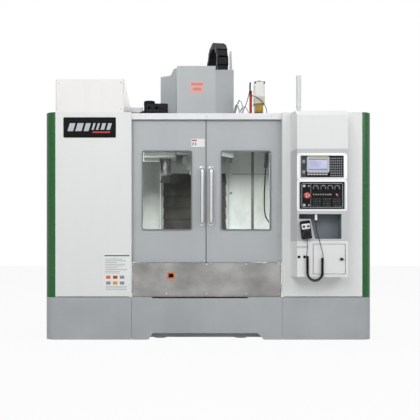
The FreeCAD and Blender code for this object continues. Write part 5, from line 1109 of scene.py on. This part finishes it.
hose("wash_hose", [(0.566, -0.873, 1.652), (0.556, -0.873, 1.5), (0.553, GUN_Y, 1.35), (0.558, -0.868, 1.21),
                   (0.585, -0.866, 1.14), (0.632, -0.866, 1.1), (0.655, -0.868, 1.2), (0.66, GUN_Y, 1.5),
                   (0.662, GUN_Y, 1.85), (0.662, GUN_Y, 2.085)], 10, 0.0065, cord_rubber)
print("wash gun and lamps hung")

# %% [markdown]
# ## Screws and handle roses
# Button-head screws hold the sheets.  Those of the sides are sunk until their heads stand only
# 0.2 mm proud.  A head that faces left is drawn mirrored, so its faces are turned round to
# point outwards.

# %%


def side_screws(name, x, way, places):
    """Button-head screws on a side sheet; way is the side that it faces."""
    angle = np.arange(16) * 2 * math.pi / 16
    for number, (y, z) in enumerate(places):
        loops = []
        for radius, out in ((0.008, 0.0), (0.0075, 0.0002), (0.0035, 0.0002), (0.003, -0.001), (TIP, -0.001)):
            loops.append(np.column_stack([np.full(16, x + way * out), y + way * radius * np.cos(angle),
                                          z + radius * np.sin(angle)]))
        points, faces = loops_to_mesh(loops)
        shape(f"{name}_{number}", points, faces if way > 0 else [face[::-1] for face in faces], steel_handle,
              "machine")


side_places = [(y, z) for y in (-0.88, -0.3, 0.3, 0.82) for z in (0.45, 1.28, 2.1)]
side_screws("left_side_screw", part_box("side_panel_left")[0].x, -1, side_places)
side_screws("right_side_screw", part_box("side_panel_right")[1].x, 1, side_places)
low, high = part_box("magazine_guard")
dome_screws("guard_screw", [(x, low.y, z) for z in (high.z - 0.03, low.z + 0.03)
                            for x in (low.x + 0.03, high.x - 0.03)], 0.007)
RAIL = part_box("top_rail")[0].y
dome_screws("rail_screw", [(x, RAIL, 2.121) for x in (-1.35, -0.6, -0.018, 0.6, 1.35)])
for name, z in (("apron_screw", 0.712), ("apron_screw_low", 0.43)):
    dome_screws(name, [(x, APRON, z) for x in (-0.72, -0.4, -0.018, 0.36, 0.67)])
for side in ("left", "right"):
    low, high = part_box(f"door_{side}")
    places = [(low.x + share * (high.x - low.x), DOOR, 0.76) for share in (0.06, 0.94)]
    dome_screws(f"door_{side}_screw", places, body=f"{side}_door")
    low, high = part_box(f"handle_{side}")
    for number, z in enumerate((low.z + 0.017, high.z - 0.017)):
        turned(f"handle_{side}_rose_{number}", ((low.x + high.x) / 2, DOOR, z),
               ((0.0235, 0.0), (0.0235, 0.003), (0.022, 0.0045), (0.0165, 0.0045), (0.0165, 0.0)),
               steel_handle, f"{side}_door")

# %% [markdown]
# ## Floor, backdrop and light
# The floor and backdrop are seen as white, by the camera and in gloss and glass, while the light
# that they give is grey.  The lamps stand high and wide, so that the white panels stay a little
# below white.

# %%
WORLD_LEVEL = 0.44           # light of the world on the object
FLOOR_WHITE = 0.93           # the rest of the floor's colour takes the object's shadow
FLOOR_REACH = 40.0
FLOOR_Z = -0.001
SOFTBOX = 4.0                # side of the studio's square soft boxes
WHITE = (1, 1, 1, 1)


def seen_by(tree):
    """1 for the rays that show the background: the camera's, and those through gloss and glass."""
    ray = add(tree, "LightPath").node.outputs
    gloss = add(tree, "Math", {0: ray["Is Camera Ray"], 1: ray["Is Glossy Ray"]}, operation="MAXIMUM")
    return add(tree, "Math", {0: gloss, 1: ray["Is Transmission Ray"]}, operation="MAXIMUM")


def white_ground(name, ground):
    """White where it is seen, and still taking a little of the object's shadow."""
    made, tree = material(name)
    cloud = add(tree, "MapRange", {0: speckle(tree, 1.5), 1: 0.3, 2: 0.7})
    grain = add(tree, "Mix", {0: cloud, 6: colour(ground), 7: colour("d6d6d6")}, 2, data_type="RGBA")
    matt = add(tree, "BsdfDiffuse", {"Color": grain})
    white = add(tree, "Emission", {"Color": WHITE, "Strength": 1.0})
    amount = add(tree, "Math", {0: seen_by(tree), 1: FLOOR_WHITE}, operation="MULTIPLY")
    add(tree, "OutputMaterial", {"Surface": add(tree, "MixShader", {0: amount, 1: matt, 2: white})})
    return made


def floor_and_world():
    """A wide floor under the feet and a white world."""
    corners = [(x * FLOOR_REACH, y * FLOOR_REACH, FLOOR_Z) for x, y in ((-1, -1), (1, -1), (1, 1), (-1, 1))]
    shape("floor", corners, [(0, 1, 2, 3)], white_ground("studio_floor", "cdcdcd"), None, False)
    world = bpy.data.worlds.new("studio")
    world.use_nodes = True
    tree = world.node_tree
    tree.nodes.clear()
    strength = add(tree, "MapRange", {0: seen_by(tree), 3: WORLD_LEVEL})
    add(tree, "OutputWorld", {"Surface": add(tree, "Background", {"Color": WHITE, "Strength": strength})})
    bpy.context.scene.world = world


def lamp(name, at, aim, power):
    """A square soft box aimed at a point."""
    data = bpy.data.lights.new(name, "AREA")
    data.size = SOFTBOX
    data.energy = power
    obj = put(name, data)
    obj.location = at
    obj.rotation_euler = (Vector(aim) - Vector(at)).to_track_quat("-Z", "Y").to_euler()


floor_and_world()
lamp("key_softbox", (-2.2, -7.2, 5.3), (0, -0.5, 1.2), 218)
lamp("fill_softbox", (4.6, -6.2, 4.6), (0, -0.5, 1.4), 132)
lamp("top_softbox", (0.0, 1.0, 7.0), (0, -0.3, 1.5), 85)
lamp("back_softbox", (0.0, 7.5, 4.5), (0, 0.5, 1.5), 110)
print("lights", len(bpy.data.lights))
